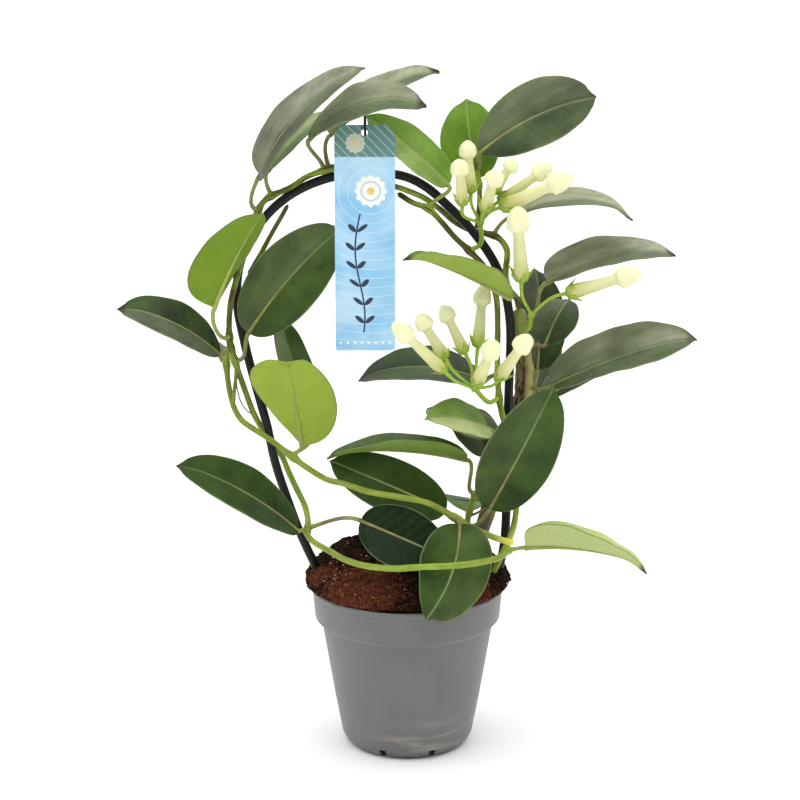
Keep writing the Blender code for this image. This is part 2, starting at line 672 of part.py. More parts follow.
def make_tag():
    """The card: a straight panel, and a head with cut corners that leans back."""
    front = [
        (TAG_LEFT, 0, TAG_FOOT), (TAG_RIGHT, 0, TAG_FOOT), (TAG_RIGHT, 0, TAG_BEND),
        (TAG_RIGHT, TAG_LEAN * 0.7, TAG_TOP - TAG_CORNER), (TAG_RIGHT - TAG_CORNER, TAG_LEAN, TAG_TOP),
        (TAG_LEFT + TAG_CORNER, TAG_LEAN, TAG_TOP), (TAG_LEFT, TAG_LEAN * 0.7, TAG_TOP - TAG_CORNER),
        (TAG_LEFT, 0, TAG_BEND)]
    points = []
    for depth in (0.0, TAG_CARD):
        for x, y, z in front:
            points.append((x, TAG_FRONT + y + depth, z))
    flat = [(0, 1, 2, 7), (7, 2, 3, 6), (6, 3, 4, 5)]
    faces = list(flat)
    for face in flat:
        faces.append(tuple(8 + n for n in reversed(face)))
    for j in range(8):
        n = (j + 1) % 8
        faces.append((n, j, 8 + j, 8 + n))
    tag = new_object("tag", points, faces, "card")
    middle = 0.5 * (TAG_LEFT + TAG_RIGHT)
    bore = [(middle, TAG_FRONT - 4, TAG_HOLE_UP), (middle, TAG_FRONT + 8, TAG_HOLE_UP)]
    cut_with(tag, new_object("tag_hole_cutter", *tube(bore, (TAG_HOLE_RADIUS,) * 2, 12, 20), "card"))


def make_clip():
    new_object("tag_clip", *tube(CLIP_LINE, (CLIP_RADIUS,) * 2, 5, 3.0), "clip")


def face_outward():
    """Turns each body's faces outward."""
    for item in bpy.data.objects:
        work = bmesh.new()
        work.from_mesh(item.data)
        bmesh.ops.recalc_face_normals(work, faces=work.faces)
        work.to_mesh(item.data)
        work.free()


clear_scene()
make_pot()
make_soil()
make_hoop()
make_stems()
make_leaves()
make_sprays()
make_tag()
make_clip()
face_outward()
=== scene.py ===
"""The looks of a potted madagascar jasmine: a twining Stephanotis trained on a hoop in a grower's pot."""

import math

import bpy
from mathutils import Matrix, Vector, noise


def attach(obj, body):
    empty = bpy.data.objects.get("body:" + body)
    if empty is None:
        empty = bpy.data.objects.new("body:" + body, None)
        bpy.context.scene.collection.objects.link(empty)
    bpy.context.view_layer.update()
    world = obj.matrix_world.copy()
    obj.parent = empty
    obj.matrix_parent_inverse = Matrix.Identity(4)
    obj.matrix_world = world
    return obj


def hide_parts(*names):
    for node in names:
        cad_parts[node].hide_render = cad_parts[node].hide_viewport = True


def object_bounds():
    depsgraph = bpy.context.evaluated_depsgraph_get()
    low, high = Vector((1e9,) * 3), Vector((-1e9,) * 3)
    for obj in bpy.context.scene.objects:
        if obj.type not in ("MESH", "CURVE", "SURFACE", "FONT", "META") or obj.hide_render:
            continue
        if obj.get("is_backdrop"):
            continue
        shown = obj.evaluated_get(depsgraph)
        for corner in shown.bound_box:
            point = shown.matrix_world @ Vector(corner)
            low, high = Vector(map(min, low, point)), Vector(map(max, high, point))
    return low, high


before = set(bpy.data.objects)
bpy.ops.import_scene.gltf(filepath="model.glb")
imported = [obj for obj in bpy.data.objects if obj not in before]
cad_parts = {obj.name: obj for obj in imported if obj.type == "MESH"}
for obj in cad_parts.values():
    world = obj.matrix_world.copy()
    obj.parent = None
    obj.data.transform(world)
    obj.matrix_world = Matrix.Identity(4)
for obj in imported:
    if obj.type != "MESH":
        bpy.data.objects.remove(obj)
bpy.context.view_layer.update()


# The pot. A round grower's pot, injection moulded in matt grey polypropylene: a straight collar with a
# step below it, a thin tapered wall and eight drain slots round the lower corner. All else stands in it.

MM = 0.001
POT_HEIGHT = 103.0
POT_RIM = 60.0
POT_WALL = 1.5
POT_FLOOR = 2.0
POT_CORNER = 1.1
POT_SIDES = 144
DRAIN_SLOTS = 8
SLOT_PLACE = 39.75
SLOT_SIZE = (12.5, 4.4, 12.0)
SHARP_EDGE = 42


def linear(hex_colour):
    """A linear colour from an sRGB hex value."""
    parts = [int(hex_colour[k:k + 2], 16) / 255 for k in (1, 3, 5)]
    return [c / 12.92 if c <= 0.04045 else ((c + 0.055) / 1.055) ** 2.4 for c in parts] + [1.0]


def add(tree, kind, inputs=(), out=0, **settings):
    """Adds a node with its settings and gives one of its outputs. Its inputs come in order or by name, and
    each is a value, an sRGB hex colour or another node's socket."""
    made = tree.nodes.new(kind)
    for key, value in settings.items():
        setattr(made, key, value)
    for key, value in inputs.items() if isinstance(inputs, dict) else enumerate(inputs):
        if isinstance(value, bpy.types.NodeSocket):
            tree.links.new(value, made.inputs[key])
        elif isinstance(value, str) and value.startswith("#"):
            made.inputs[key].default_value = linear(value)
        else:
            made.inputs[key].default_value = value
    return made.outputs[out] if made.outputs else made


def painted(tree, shader, colour, height, strength, depth, roughness=None):
    """Gives a shader its colour and a fine relief of a depth in mm."""
    relief = add(tree, "ShaderNodeBump", {"Height": height, "Strength": strength, "Distance": depth * MM})
    tree.links.new(colour, shader.inputs["Base Color"])
    tree.links.new(relief, shader.inputs["Normal"])
    if roughness:
        tree.links.new(roughness, shader.inputs["Roughness"])


def new_material(name, roughness, ior):
    """A material, its tree, its shader and the place on the object in mm."""
    made = bpy.data.materials.new(name)
    made.use_nodes = True
    tree = made.node_tree
    shader = tree.nodes["Principled BSDF"]
    shader.inputs["Roughness"].default_value = roughness
    shader.inputs["IOR"].default_value = ior
    place = add(tree, "ShaderNodeTexCoord", out="Object")
    mm = add(tree, "ShaderNodeVectorMath", {0: place, "Scale": 1 / MM}, operation="SCALE")
    return made, tree, shader, mm


def new_tree(name, **sockets):
    """A geometry tree with named inputs: its group input node and its output node."""
    tree = bpy.data.node_groups.new(name, "GeometryNodeTree")
    tree.interface.new_socket("Geometry", in_out="INPUT", socket_type="NodeSocketGeometry")
    for key, kind in sockets.items():
        tree.interface.new_socket(key.replace("_", " "), in_out="INPUT", socket_type="NodeSocket" + kind)
    tree.interface.new_socket("Geometry", in_out="OUTPUT", socket_type="NodeSocketGeometry")
    return tree, tree.nodes.new("NodeGroupInput").outputs, tree.nodes.new("NodeGroupOutput").inputs[0]


def new_mesh(name, points, faces, edges=()):
    """A mesh from points in mm."""
    mesh = bpy.data.meshes.new(name)
    mesh.from_pydata([tuple(MM * c for c in p) for p in points], edges, faces)
    mesh.update()
    return mesh


def grown(name, mesh, tree, **values):
    """The object that a geometry tree makes of a mesh, as a plain mesh."""
    item = bpy.data.objects.new(name, mesh)
    bpy.context.scene.collection.objects.link(item)
    modifier = item.modifiers.new("grow", "NODES")
    modifier.node_group = tree
    for socket in tree.interface.items_tree:
        key = socket.name.replace(" ", "_")
        if key in values:
            modifier[socket.identifier] = values[key]
    graph = bpy.context.evaluated_depsgraph_get()
    mesh = bpy.data.meshes.new_from_object(item.evaluated_get(graph))
    item.modifiers.clear()
    item.data = mesh
    return item


def rounded(profile, radius):
    """A profile with each of its corners turned into a short arc."""
    corners = [Vector(p) for p in profile]
    result = [corners[0]]
    for before, corner, after in zip(corners, corners[1:], corners[2:]):
        to_back = before - corner
        to_front = after - corner
        start = corner + to_back * min(0.45, radius / to_back.length)
        end = corner + to_front * min(0.45, radius / to_front.length)
        for k in range(5):
            t = k / 4
            result.append(start * (1 - t)**2 + corner * 2 * t * (1 - t) + end * t**2)
    return result + [corners[-1]]


def faces_between(rows):
    """Faces between closed rows of point numbers; a row of one point is a pole."""
    faces = []
    for low, high in zip(rows, rows[1:]):
        count = max(len(low), len(high))
        for j in range(count):
            n = (j + 1) % count
            if len(low) == 1:
                faces.append((low[0], high[n], high[j]))
            elif len(high) == 1:
                faces.append((low[j], low[n], high[0]))
            else:
                faces.append((low[j], low[n], high[n], high[j]))
    return faces


def turned(profile, sides):
    """A closed body turned from (radius, height) points that start and end on the upright axis."""
    rows = []
    points = []
    for radius, height in profile:
        row = []
        for j in range(sides if radius > 0 else 1):
            angle = 2 * math.pi * j / sides
            row.append(len(points))
            points.append((radius * math.cos(angle), radius * math.sin(angle), height))
        rows.append(row)
    return points, faces_between(rows)


# Moulded polypropylene: a dull, even grey with a fine spark-eroded grain, a little clouded. Pale brownish
# scuffs run round its foot where it has stood and slid, and peat clings to its foot and under its collar.
# Fine dust gives it a pale sheen.
polypropylene, tree, shader, mm = new_material("moulded_polypropylene", 0.5, 1.49)
shader.inputs["Sheen Weight"].default_value = 0.12
shader.inputs["Sheen Roughness"].default_value = 0.4
parts = add(tree, "ShaderNodeSeparateXYZ", [mm]).node.outputs
cloud = add(tree, "ShaderNodeTexNoise", {"Vector": mm, "Scale": 1 / 30, "Detail": 3.0})
cloud = add(tree, "ShaderNodeMapRange", [cloud, 0.3, 0.7])
colour = add(tree, "ShaderNodeMix", {0: cloud, 6: "#646464", 7: "#6e6e6d"}, 2, data_type="RGBA")

drawn = add(tree, "ShaderNodeVectorMath", [mm, (0.3, 0.3, 1.3)], operation="MULTIPLY")
smear = add(tree, "ShaderNodeTexNoise", {"Vector": drawn, "Scale": 1 / 10, "Detail": 5.0, "Roughness": 0.6})
scuff = add(tree, "ShaderNodeMapRange", [smear, 0.5, 0.68])
below = add(tree, "ShaderNodeMapRange", [parts["Z"], 32.0, 15.0])
above = add(tree, "ShaderNodeMapRange", [parts["Z"], 4.0, 9.0])
low = add(tree, "ShaderNodeMath", [below, above], operation="MULTIPLY")
side = add(tree, "ShaderNodeMapRange", [parts["X"], -22.0, 10.0, 0.2, 1.0])
for factor in (low, side, 0.75):
    scuff = add(tree, "ShaderNodeMath", [scuff, factor], operation="MULTIPLY")
colour = add(tree, "ShaderNodeMix", {0: scuff, 6: colour, 7: "#a39c8c"}, 2, data_type="RGBA")

dirt = add(tree, "ShaderNodeTexNoise", {"Vector": mm, "Scale": 1 / 2.6, "Detail": 4.0, "Roughness": 0.7})
foot = add(tree, "ShaderNodeMapRange", [parts["Z"], 6.0, 1.0])
thick = add(tree, "ShaderNodeMapRange", [dirt, 0.44, 0.58])
foot = add(tree, "ShaderNodeMath", [foot, thick], operation="MULTIPLY")
high = add(tree, "ShaderNodeMapRange", [parts["Z"], 78.0, 96.0])
thin = add(tree, "ShaderNodeMapRange", [dirt, 0.66, 0.72])
high = add(tree, "ShaderNodeMath", [high, thin], operation="MULTIPLY")
aside = add(tree, "ShaderNodeMath", [parts["X"]], operation="ABSOLUTE")
aside = add(tree, "ShaderNodeMapRange", [aside, 34.0, 52.0])
high = add(tree, "ShaderNodeMath", [high, aside], operation="MULTIPLY")
foot = add(tree, "ShaderNodeMath", [foot, high], operation="MAXIMUM")
foot = add(tree, "ShaderNodeMath", [foot, 0.85], operation="MULTIPLY")
colour = add(tree, "ShaderNodeMix", {0: foot, 6: colour, 7: "#2f2921"}, 2, data_type="RGBA")
grain = add(tree, "ShaderNodeTexNoise", {"Vector": mm, "Scale": 1 / 1.1})
rough = add(tree, "ShaderNodeMapRange", [cloud, 0.0, 1.0, 0.46, 0.58])
painted(tree, shader, colour, grain, 0.25, 0.3, rough)

# The slots stand in a ring, each cut through the corner between the wall and the floor.
slots, given, result = new_tree(
    "drain slots", Count="Int", Ring_radius="Float", Slot_size="Vector", Plastic="Material")
ring = add(slots, "GeometryNodeMeshCircle", {"Vertices": given["Count"], "Radius": given["Ring radius"]})
out_of_middle = add(slots, "GeometryNodeInputPosition")
facing = add(slots, "FunctionNodeAlignRotationToVector", {"Vector": out_of_middle}, axis="X")
block = add(slots, "GeometryNodeMeshCube", {"Size": given["Slot size"]})
blocks = add(slots, "GeometryNodeInstanceOnPoints", {"Points": ring, "Instance": block, "Rotation": facing})
half_step = add(slots, "GeometryNodeTransform", {0: blocks, "Rotation": (0.0, 0.0, math.pi / DRAIN_SLOTS)})
cutters = add(slots, "GeometryNodeRealizeInstances", [half_step])
cut = add(slots, "GeometryNodeMeshBoolean", [given["Geometry"], cutters], operation="DIFFERENCE")
smooth = add(slots, "GeometryNodeSetShadeSmooth", [cut])
bend = add(slots, "GeometryNodeInputMeshEdgeAngle")
is_corner = add(slots, "FunctionNodeCompare", [bend, math.radians(SHARP_EDGE)], operation="GREATER_THAN")
smooth = add(
    slots, "GeometryNodeSetShadeSmooth", {0: smooth, "Selection": is_corner, "Shade Smooth": False},
    domain="EDGE")
slots.links.new(add(slots, "GeometryNodeSetMaterial", {0: smooth, "Material": given["Plastic"]}), result)

outside = [
    (0, 0), (34.0, 0), (37.8, 1.6), (40.8, 6.4), (45.2, 30), (49.2, 54), (53.3, POT_HEIGHT - 24),
    (57.4, POT_HEIGHT - 21), (58.9, POT_HEIGHT - 3.2), (POT_RIM, POT_HEIGHT - 2.4),
    (POT_RIM, POT_HEIGHT - 0.5), (POT_RIM - 0.7, POT_HEIGHT)]
inside = [
    (POT_RIM - 1.7, POT_HEIGHT), (58.7 - POT_WALL, POT_HEIGHT - 3.0), (57.4 - POT_WALL, POT_HEIGHT - 20.4),
    (53.3 - POT_WALL, POT_HEIGHT - 23.4), (41.2 - POT_WALL, 6.6), (37.6, POT_FLOOR + 1.2),
    (34.5, POT_FLOOR), (0, POT_FLOOR)]
points, faces = turned(rounded(outside + inside, POT_CORNER), POT_SIDES)
pot = grown(
    "pot_shell", new_mesh("pot_shell", points, faces), slots, Count=DRAIN_SLOTS, Ring_radius=SLOT_PLACE * MM,
    Slot_size=[MM * c for c in SLOT_SIZE], Plastic=polypropylene)
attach(pot, "root")
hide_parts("pot")


# The potting mix. Peat and coir with bark chips: it fills the pot, heaps up in the middle and lies over the
# rim at both sides. Loose crumbs, chips and fibres lie on it.

MIX_SIDES = 220
MIX_ROWS = 62
MIX_EDGE = POT_HEIGHT + 0.7
MIX_TOP = 119.5
MIX_CROWN = 8.5
MIX_LEAN = 0.075
SHOULDER = (-24.0, 28.0)
SHOULDER_RISE = 4.0
SHOULDER_REACH = 20
SPILL_FROM = 56.2
SPILL_OVER = 6.6
CRUMBS = ((9.0, 2.2), (4.0, 1.9), (1.7, 1.0))
COIR_PATCHES = ((-27, -40, 30), (42, -40, 15), (-52, -14, 12))
PATCH_HEIGHT = 112.0


def spill(angle):
    """How far out the mix reaches, over the rim at the left and right."""
    return SPILL_FROM + SPILL_OVER * abs(math.cos(angle)) ** 1.5


def heap(angle, radius):
    """How high the mix stands: it is crowned and leans a little, with a shoulder at the back left."""
    shoulder = Vector((radius * math.cos(angle), radius * math.sin(angle))) - Vector(SHOULDER)
    lift = SHOULDER_RISE * math.exp(-(shoulder.length / SHOULDER_REACH)**2)
    return MIX_TOP - MIX_CROWN * (radius / POT_RIM)**3 + MIX_LEAN * radius * math.sin(angle) + lift


def crumbled(place, size):
    """How far crumbs of three sizes lift the surface of the mix, in mm."""
    lift = 0.0
    for grit, height in CRUMBS:
        lift += height * noise.noise(Vector(place) / grit)
    return size * lift


def make_mix():
    """The body of the mix: rows of points up the inside of the pot and over the heap."""
    rows = [[0]]
    points = [(0, 0, POT_FLOOR + 0.3)]
    inner = [(34, POT_FLOOR + 0.3), (36.8, 3.9), (39.2, 7.3), (51.2, 79.4), (55.2, 82.8), (56.3, MIX_EDGE)]

    def add_row(radius_at, height_at, rough):
        row = []
        for j in range(MIX_SIDES):
            angle = 2 * math.pi * j / MIX_SIDES
            radius = radius_at(angle)
            place = Vector((radius * math.cos(angle), radius * math.sin(angle), height_at(angle, radius)))
            place.z += crumbled(place, rough)
            row.append(len(points))
            points.append(place)
        rows.append(row)

    for radius, height in inner:
        add_row(lambda angle, r=radius: r, lambda angle, r, h=height: h, 0)
    add_row(lambda angle: spill(angle) - 0.2, lambda angle, r: MIX_EDGE + 0.1, 0)
    for k in range(6):
        t = (k + 1) / 7
        out = 0.9 * math.sin(math.pi * t)
        add_row(
            lambda angle, o=out, s=t: spill(angle) + o - 2.6 * s * s,
            lambda angle, r, s=t: MIX_EDGE + (heap(angle, r) - MIX_EDGE) * s, 0.4)
    for k in range(MIX_ROWS):
        t = 1 - k / MIX_ROWS
        add_row(lambda angle, s=t: (spill(angle) - 2.8) * s, heap, 1.0)
    rows.append([len(points)])
    points.append((0, 0, MIX_TOP))
    return points, faces_between(rows)


# Damp peat and coir: near black in patches, red brown where the coir shows.
peat, tree, shader, mm = new_material("damp_peat_and_coir", 0.95, 1.35)
shader.inputs["Specular IOR Level"].default_value = 0.2
lumps = add(tree, "ShaderNodeTexNoise", {"Vector": mm, "Scale": 1 / 3.5, "Detail": 5.0, "Roughness": 0.65})
grit = add(tree, "ShaderNodeTexNoise", {"Vector": mm, "Scale": 1 / 1.2, "Detail": 3.0})
share = add(tree, "ShaderNodeMapRange", [lumps, 0.4, 0.66])
colour = add(tree, "ShaderNodeMix", {0: share, 6: "#0c0704", 7: "#382013"}, 2, data_type="RGBA")
patch = 0.0
for x, y, radius in COIR_PATCHES:
    off = add(tree, "ShaderNodeVectorMath", [mm, (x, y, PATCH_HEIGHT)], "Value", operation="DISTANCE")
    near = add(tree, "ShaderNodeMapRange", [off, radius * 1.15, radius * 0.5])
    patch = add(tree, "ShaderNodeMath", [near, patch], operation="MAXIMUM")
patch = add(tree, "ShaderNodeMath", [patch, lumps], operation="MULTIPLY")
patch = add(tree, "ShaderNodeMapRange", [patch, 0.22, 0.52, 0.0, 0.8])
share = add(tree, "ShaderNodeMapRange", [grit, 0.36, 0.64])
red = add(tree, "ShaderNodeMix", {0: share, 6: "#260d06", 7: "#96502f"}, 2, data_type="RGBA")
colour = add(tree, "ShaderNodeMix", {0: patch, 6: colour, 7: red}, 2, data_type="RGBA")
painted(tree, shader, colour, grit, 0.9, 0.9)

points, faces = make_mix()
mesh = new_mesh("potting_mix", points, faces)
mesh.materials.append(peat)
mix = bpy.data.objects.new("potting_mix", mesh)
bpy.context.scene.collection.objects.link(mix)
mesh.polygons.foreach_set("use_smooth", [True] * len(faces))

# Loose bits are scattered over the crown of the heap by one tree. Its bit is a small lump of few faces,
# drawn out along one axis and flattened along another.
scatter, given, result = new_tree(
    "loose bits", Density="Float", Closest="Float", Smallest="Float", Largest="Float", Shape="Vector",
    Patch_middle="Vector", Patch_radius="Float", Lift="Float", Seed="Int", Stuff="Material")
where = add(scatter, "GeometryNodeInputPosition")
up = add(scatter, "ShaderNodeSeparateXYZ", [add(scatter, "GeometryNodeInputNormal")], "Z")
height = add(scatter, "ShaderNodeSeparateXYZ", [where], "Z")
on_top = add(scatter, "FunctionNodeCompare", [height, (MIX_EDGE + 1.0) * MM], operation="GREATER_THAN")
off = add(scatter, "ShaderNodeVectorMath", [where, given["Patch middle"]], "Value", operation="DISTANCE")
near = add(scatter, "ShaderNodeMath", [off, given["Patch radius"]], operation="DIVIDE")
near = add(scatter, "ShaderNodeMapRange", [near, 1.1, 0.6])
near = add(scatter, "ShaderNodeMath", [near, up], operation="MULTIPLY", use_clamp=True)
places = add(
    scatter, "GeometryNodeDistributePointsOnFaces",
    {"Mesh": given["Geometry"], "Selection": on_top, "Distance Min": given["Closest"],
     "Density Max": given["Density"], "Density Factor": near, "Seed": given["Seed"]},
    distribute_method="POISSON")
lump = add(scatter, "GeometryNodeMeshIcoSphere", {"Radius": 0.5, "Subdivisions": 1})
lump = add(scatter, "GeometryNodeTransform", {0: lump, "Scale": given["Shape"]})
turn = add(
    scatter, "FunctionNodeRandomValue", {0: (-0.5, -0.5, -3.1), 1: (0.5, 0.5, 3.1), "Seed": given["Seed"]},
    data_type="FLOAT_VECTOR")
turn = add(scatter, "FunctionNodeEulerToRotation", [turn])
facing = add(
    scatter, "FunctionNodeRotateRotation", [places.node.outputs["Rotation"], turn], rotation_space="LOCAL")
size = add(
    scatter, "FunctionNodeRandomValue", {2: given["Smallest"], 3: given["Largest"], "Seed": given["Seed"]}, 1)
bits = add(
    scatter, "GeometryNodeInstanceOnPoints",
    {"Points": places, "Instance": lump, "Rotation": facing, "Scale": size})
bits = add(scatter, "GeometryNodeRealizeInstances", [bits])
lifted = add(scatter, "ShaderNodeCombineXYZ", {"Z": given["Lift"]})
bits = add(scatter, "GeometryNodeSetPosition", {0: bits, "Offset": lifted})
scatter.links.new(add(scatter, "GeometryNodeSetMaterial", {0: bits, "Material": given["Stuff"]}), result)

# Bark chips: dry, pale tan to pink, each a little different.
bark_chip, tree, shader, mm = new_material("dry_bark_chip", 0.8, 1.45)
share = add(tree, "ShaderNodeTexNoise", {"Vector": mm, "Scale": 1 / 5, "Detail": 1.0})
share = add(tree, "ShaderNodeMapRange", [share, 0.35, 0.65])
colour = add(tree, "ShaderNodeMix", {0: share, 6: "#7a4c30", 7: "#d8b092"}, 2, data_type="RGBA")
grain = add(tree, "ShaderNodeTexNoise", {"Vector": mm, "Scale": 1 / 0.6})
painted(tree, shader, colour, grain, 0.5, 0.3)

# Each kind of bit: most bits on a square metre; closest, smallest and largest in mm; shape; middle of its
# patch; the patch's radius; how far the bits are raised; seed; material.
BITS = {
    "peat_crumbs": (420000.0, 1.0, 0.9, 4.0, (1.0, 0.85, 0.7), (0, 0, 112), 90, 0.0, 3, peat),
    "coir_crumbs": (500000.0, 0.9, 0.8, 3.0, (1.4, 0.6, 0.5), (-27, -40, 112), 34, 0.2, 5, peat),
    "bark_chips": (20000.0, 3.0, 1.0, 2.8, (1.0, 0.6, 0.35), (0, -8, 112), 62, 0.5, 11, bark_chip),
    "pale_chips": (90000.0, 1.6, 0.8, 2.4, (1.0, 0.7, 0.4), (-38, -26, 114), 24, 0.5, 17, bark_chip),
}
for name, (density, closest, smallest, largest, shape, middle, reach, lift, seed, stuff) in BITS.items():
    loose = grown(
        name, mix.data, scatter, Density=density, Closest=closest * MM, Smallest=smallest * MM,
        Largest=largest * MM, Shape=shape, Patch_middle=[MM * c for c in middle], Patch_radius=reach * MM,
        Lift=lift * MM, Seed=seed, Stuff=stuff)
    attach(loose, "root")

# Coir fibres: thin bent hairs, thick in the red patches and few elsewhere.
fibres, given, result = new_tree(
    "coir fibres", Density="Float", Length="Float", Thickness="Float", Patch_middle="Vector",
    Patch_radius="Float", Seed="Int", Stuff="Material")
where = add(fibres, "GeometryNodeInputPosition")
height = add(fibres, "ShaderNodeSeparateXYZ", [where], "Z")
on_top = add(fibres, "FunctionNodeCompare", [height, (MIX_EDGE + 1.5) * MM], operation="GREATER_THAN")
off = add(fibres, "ShaderNodeVectorMath", [where, given["Patch middle"]], "Value", operation="DISTANCE")
near = add(fibres, "ShaderNodeMath", [off, given["Patch radius"]], operation="DIVIDE")
near = add(fibres, "ShaderNodeMapRange", [near, 1.15, 0.5])
places = add(
    fibres, "GeometryNodeDistributePointsOnFaces",
    {"Mesh": given["Geometry"], "Selection": on_top, "Distance Min": 0.4 * MM,
     "Density Max": given["Density"], "Density Factor": near, "Seed": given["Seed"]},
    distribute_method="POISSON")
hair = add(
    fibres, "GeometryNodeCurveQuadraticBezier",
    {"Resolution": 5, "Start": (-0.5, 0.0, -0.06), "Middle": (0.0, 0.35, 0.4), "End": (0.5, 0.0, -0.04)})
section = add(fibres, "GeometryNodeCurvePrimitiveCircle", {"Resolution": 3, "Radius": given["Thickness"]})
hair = add(fibres, "GeometryNodeCurveToMesh", {0: hair, 1: section, "Fill Caps": True})
turn = add(
    fibres, "FunctionNodeRandomValue", {0: (-0.35, -0.5, -3.1), 1: (0.35, 0.5, 3.1), "Seed": given["Seed"]},
    data_type="FLOAT_VECTOR")
turn = add(fibres, "FunctionNodeEulerToRotation", [turn])
facing = add(
    fibres, "FunctionNodeRotateRotation", [places.node.outputs["Rotation"], turn], rotation_space="LOCAL")
size = add(fibres, "FunctionNodeRandomValue", {2: 0.4, 3: 1.2, "Seed": given["Seed"]}, 1)
size = add(fibres, "ShaderNodeMath", [size, given["Length"]], operation="MULTIPLY")
hairs = add(
    fibres, "GeometryNodeInstanceOnPoints",
    {"Points": places, "Instance": hair, "Rotation": facing, "Scale": size})
hairs = add(fibres, "GeometryNodeRealizeInstances", [hairs])
fibres.links.new(add(fibres, "GeometryNodeSetMaterial", {0: hairs, "Material": given["Stuff"]}), result)

coir, tree, shader, mm = new_material("coir_fibre", 0.8, 1.4)
share = add(tree, "ShaderNodeTexNoise", {"Vector": mm, "Scale": 1 / 2.5, "Detail": 1.0})
colour = add(tree, "ShaderNodeMix", {0: share, 6: "#3d170c", 7: "#94502e"}, 2, data_type="RGBA")
tree.links.new(colour, shader.inputs["Base Color"])
for k, (x, y, radius) in enumerate(COIR_PATCHES):
    hairs = grown(
        f"coir_fibres_{k + 1}", mix.data, fibres, Density=700000.0, Length=7.0 * MM, Thickness=0.022,
        Patch_middle=(x * MM, y * MM, PATCH_HEIGHT * MM), Patch_radius=radius * MM, Seed=k, Stuff=coir)
    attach(hairs, "root")
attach(mix, "root")
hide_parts("soil")


# The hoop. Spring wire in a black plastic coat, bent to an arch by hand; its legs are pushed deep into
# the mix and the stems are wound round it.

HOOP_RADIUS = 2.75
HOOP_LINE = (
    (-38, 34), (-42, 62), (-49, 92), (-57, 113), (-66, 134), (-74, 157), (-81, 180), (-86, 205),
    (-93, 232), (-99, 258), (-102.5, 280), (-100.5, 303), (-92, 322), (-80, 337), (-65, 348),
    (-46, 355.5), (-26, 358), (-5, 357), (10, 350.5), (24, 338.5), (39, 323), (52, 304), (59, 284),
    (62, 262), (61.5, 230), (61, 195), (61, 160), (60, 130), (56, 108), (50, 85), (45, 60), (41, 34),
)


def smooth_line(points, step):
    """The points of a smooth curve through the given ones, evenly spaced."""
    line = [Vector(p) for p in points]
    line = [2 * line[0] - line[1]] + line + [2 * line[-1] - line[-2]]
    fine = []
    for a, b, c, d in zip(line, line[1:], line[2:], line[3:]):
        for k in range(12):
            t = k / 12
            fine.append(0.5 * (2 * b + (c - a) * t + (2 * a - 5 * b + 4 * c - d) * t**2
                               + (3 * b - a - 3 * c + d) * t**3))
    fine.append(line[-2])
    lengths = [0.0]
    for a, b in zip(fine, fine[1:]):
        lengths.append(lengths[-1] + (b - a).length)
    count = max(2, round(lengths[-1] / step))
    result = []
    at = 0
    for k in range(count + 1):
        wanted = lengths[-1] * k / count
        while at < len(fine) - 2 and lengths[at + 1] < wanted:
            at += 1
        part = (wanted - lengths[at]) / max(1e-9, lengths[at + 1] - lengths[at])
        result.append(fine[at].lerp(fine[at + 1], min(1.0, part)))
    return result


def line_mesh(name, lines, **numbers):
    """A mesh of open lines in mm, with a number in mm or a plain vector on each of its points."""
    points = [p for line in lines for p in line]
    edges = []
    first = 0
    for line in lines:
        edges += [(first + k, first + k + 1) for k in range(len(line) - 1)]
        first += len(line)
    mesh = new_mesh(name, points, (), edges)
    for key, values in numbers.items():
        if isinstance(values[0], Vector):
            made = mesh.attributes.new(key, "FLOAT_VECTOR", "POINT")
            made.data.foreach_set("vector", [c for v in values for c in v])
        elif isinstance(values[0], bool):
            made = mesh.attributes.new(key, "BOOLEAN", "POINT")
            made.data.foreach_set("value", values)
        else:
            made = mesh.attributes.new(key, "FLOAT", "POINT")
            made.data.foreach_set("value", values)
    return mesh


# A round bar is swept along each line, as thick as the line's girth says. It keeps its place along and
# round the straightened bar, so that grain and bark follow it, and its skin is raised by that grain.
bar, given, result = new_tree(
    "round bar", Sides="Int", Relief="Float", Grain="Float", Drawn_out="Float", Skin="Material")
curve = add(bar, "GeometryNodeMeshToCurve", [given["Geometry"]])
along = add(bar, "GeometryNodeSplineParameter", out="Length")
curve = add(bar, "GeometryNodeStoreNamedAttribute", {0: curve, "Name": "along", "Value": along})
section = add(bar, "GeometryNodeCurvePrimitiveCircle", {"Resolution": given["Sides"], "Radius": 1.0})
ring = add(bar, "GeometryNodeInputPosition")
section = add(
    bar, "GeometryNodeStoreNamedAttribute", {0: section, "Name": "ring", 3: ring}, data_type="FLOAT_VECTOR")
girth = add(bar, "GeometryNodeInputNamedAttribute", ["girth"], data_type="FLOAT")
body = add(bar, "GeometryNodeCurveToMesh", {0: curve, 1: section, "Scale": girth, "Fill Caps": True})
ring = add(bar, "GeometryNodeInputNamedAttribute", ["ring"], data_type="FLOAT_VECTOR")
ring = add(bar, "ShaderNodeVectorMath", {0: ring, "Scale": girth}, operation="SCALE")
along = add(bar, "GeometryNodeInputNamedAttribute", ["along"], data_type="FLOAT")
length = add(bar, "ShaderNodeCombineXYZ", {"Z": along})
straight = add(bar, "ShaderNodeVectorMath", [ring, length])
body = add(
    bar, "GeometryNodeStoreNamedAttribute", {0: body, "Name": "straight", 3: straight},
    data_type="FLOAT_VECTOR")
drawn = add(bar, "ShaderNodeMath", [along, given["Drawn out"]], operation="DIVIDE")
drawn = add(bar, "ShaderNodeCombineXYZ", {"Z": drawn})
drawn = add(bar, "ShaderNodeVectorMath", [ring, drawn])
fine = add(bar, "ShaderNodeTexNoise", {"Vector": drawn, "Scale": given["Grain"], "Detail": 3.0})
lift = add(bar, "ShaderNodeMath", [fine, 0.5], operation="SUBTRACT")
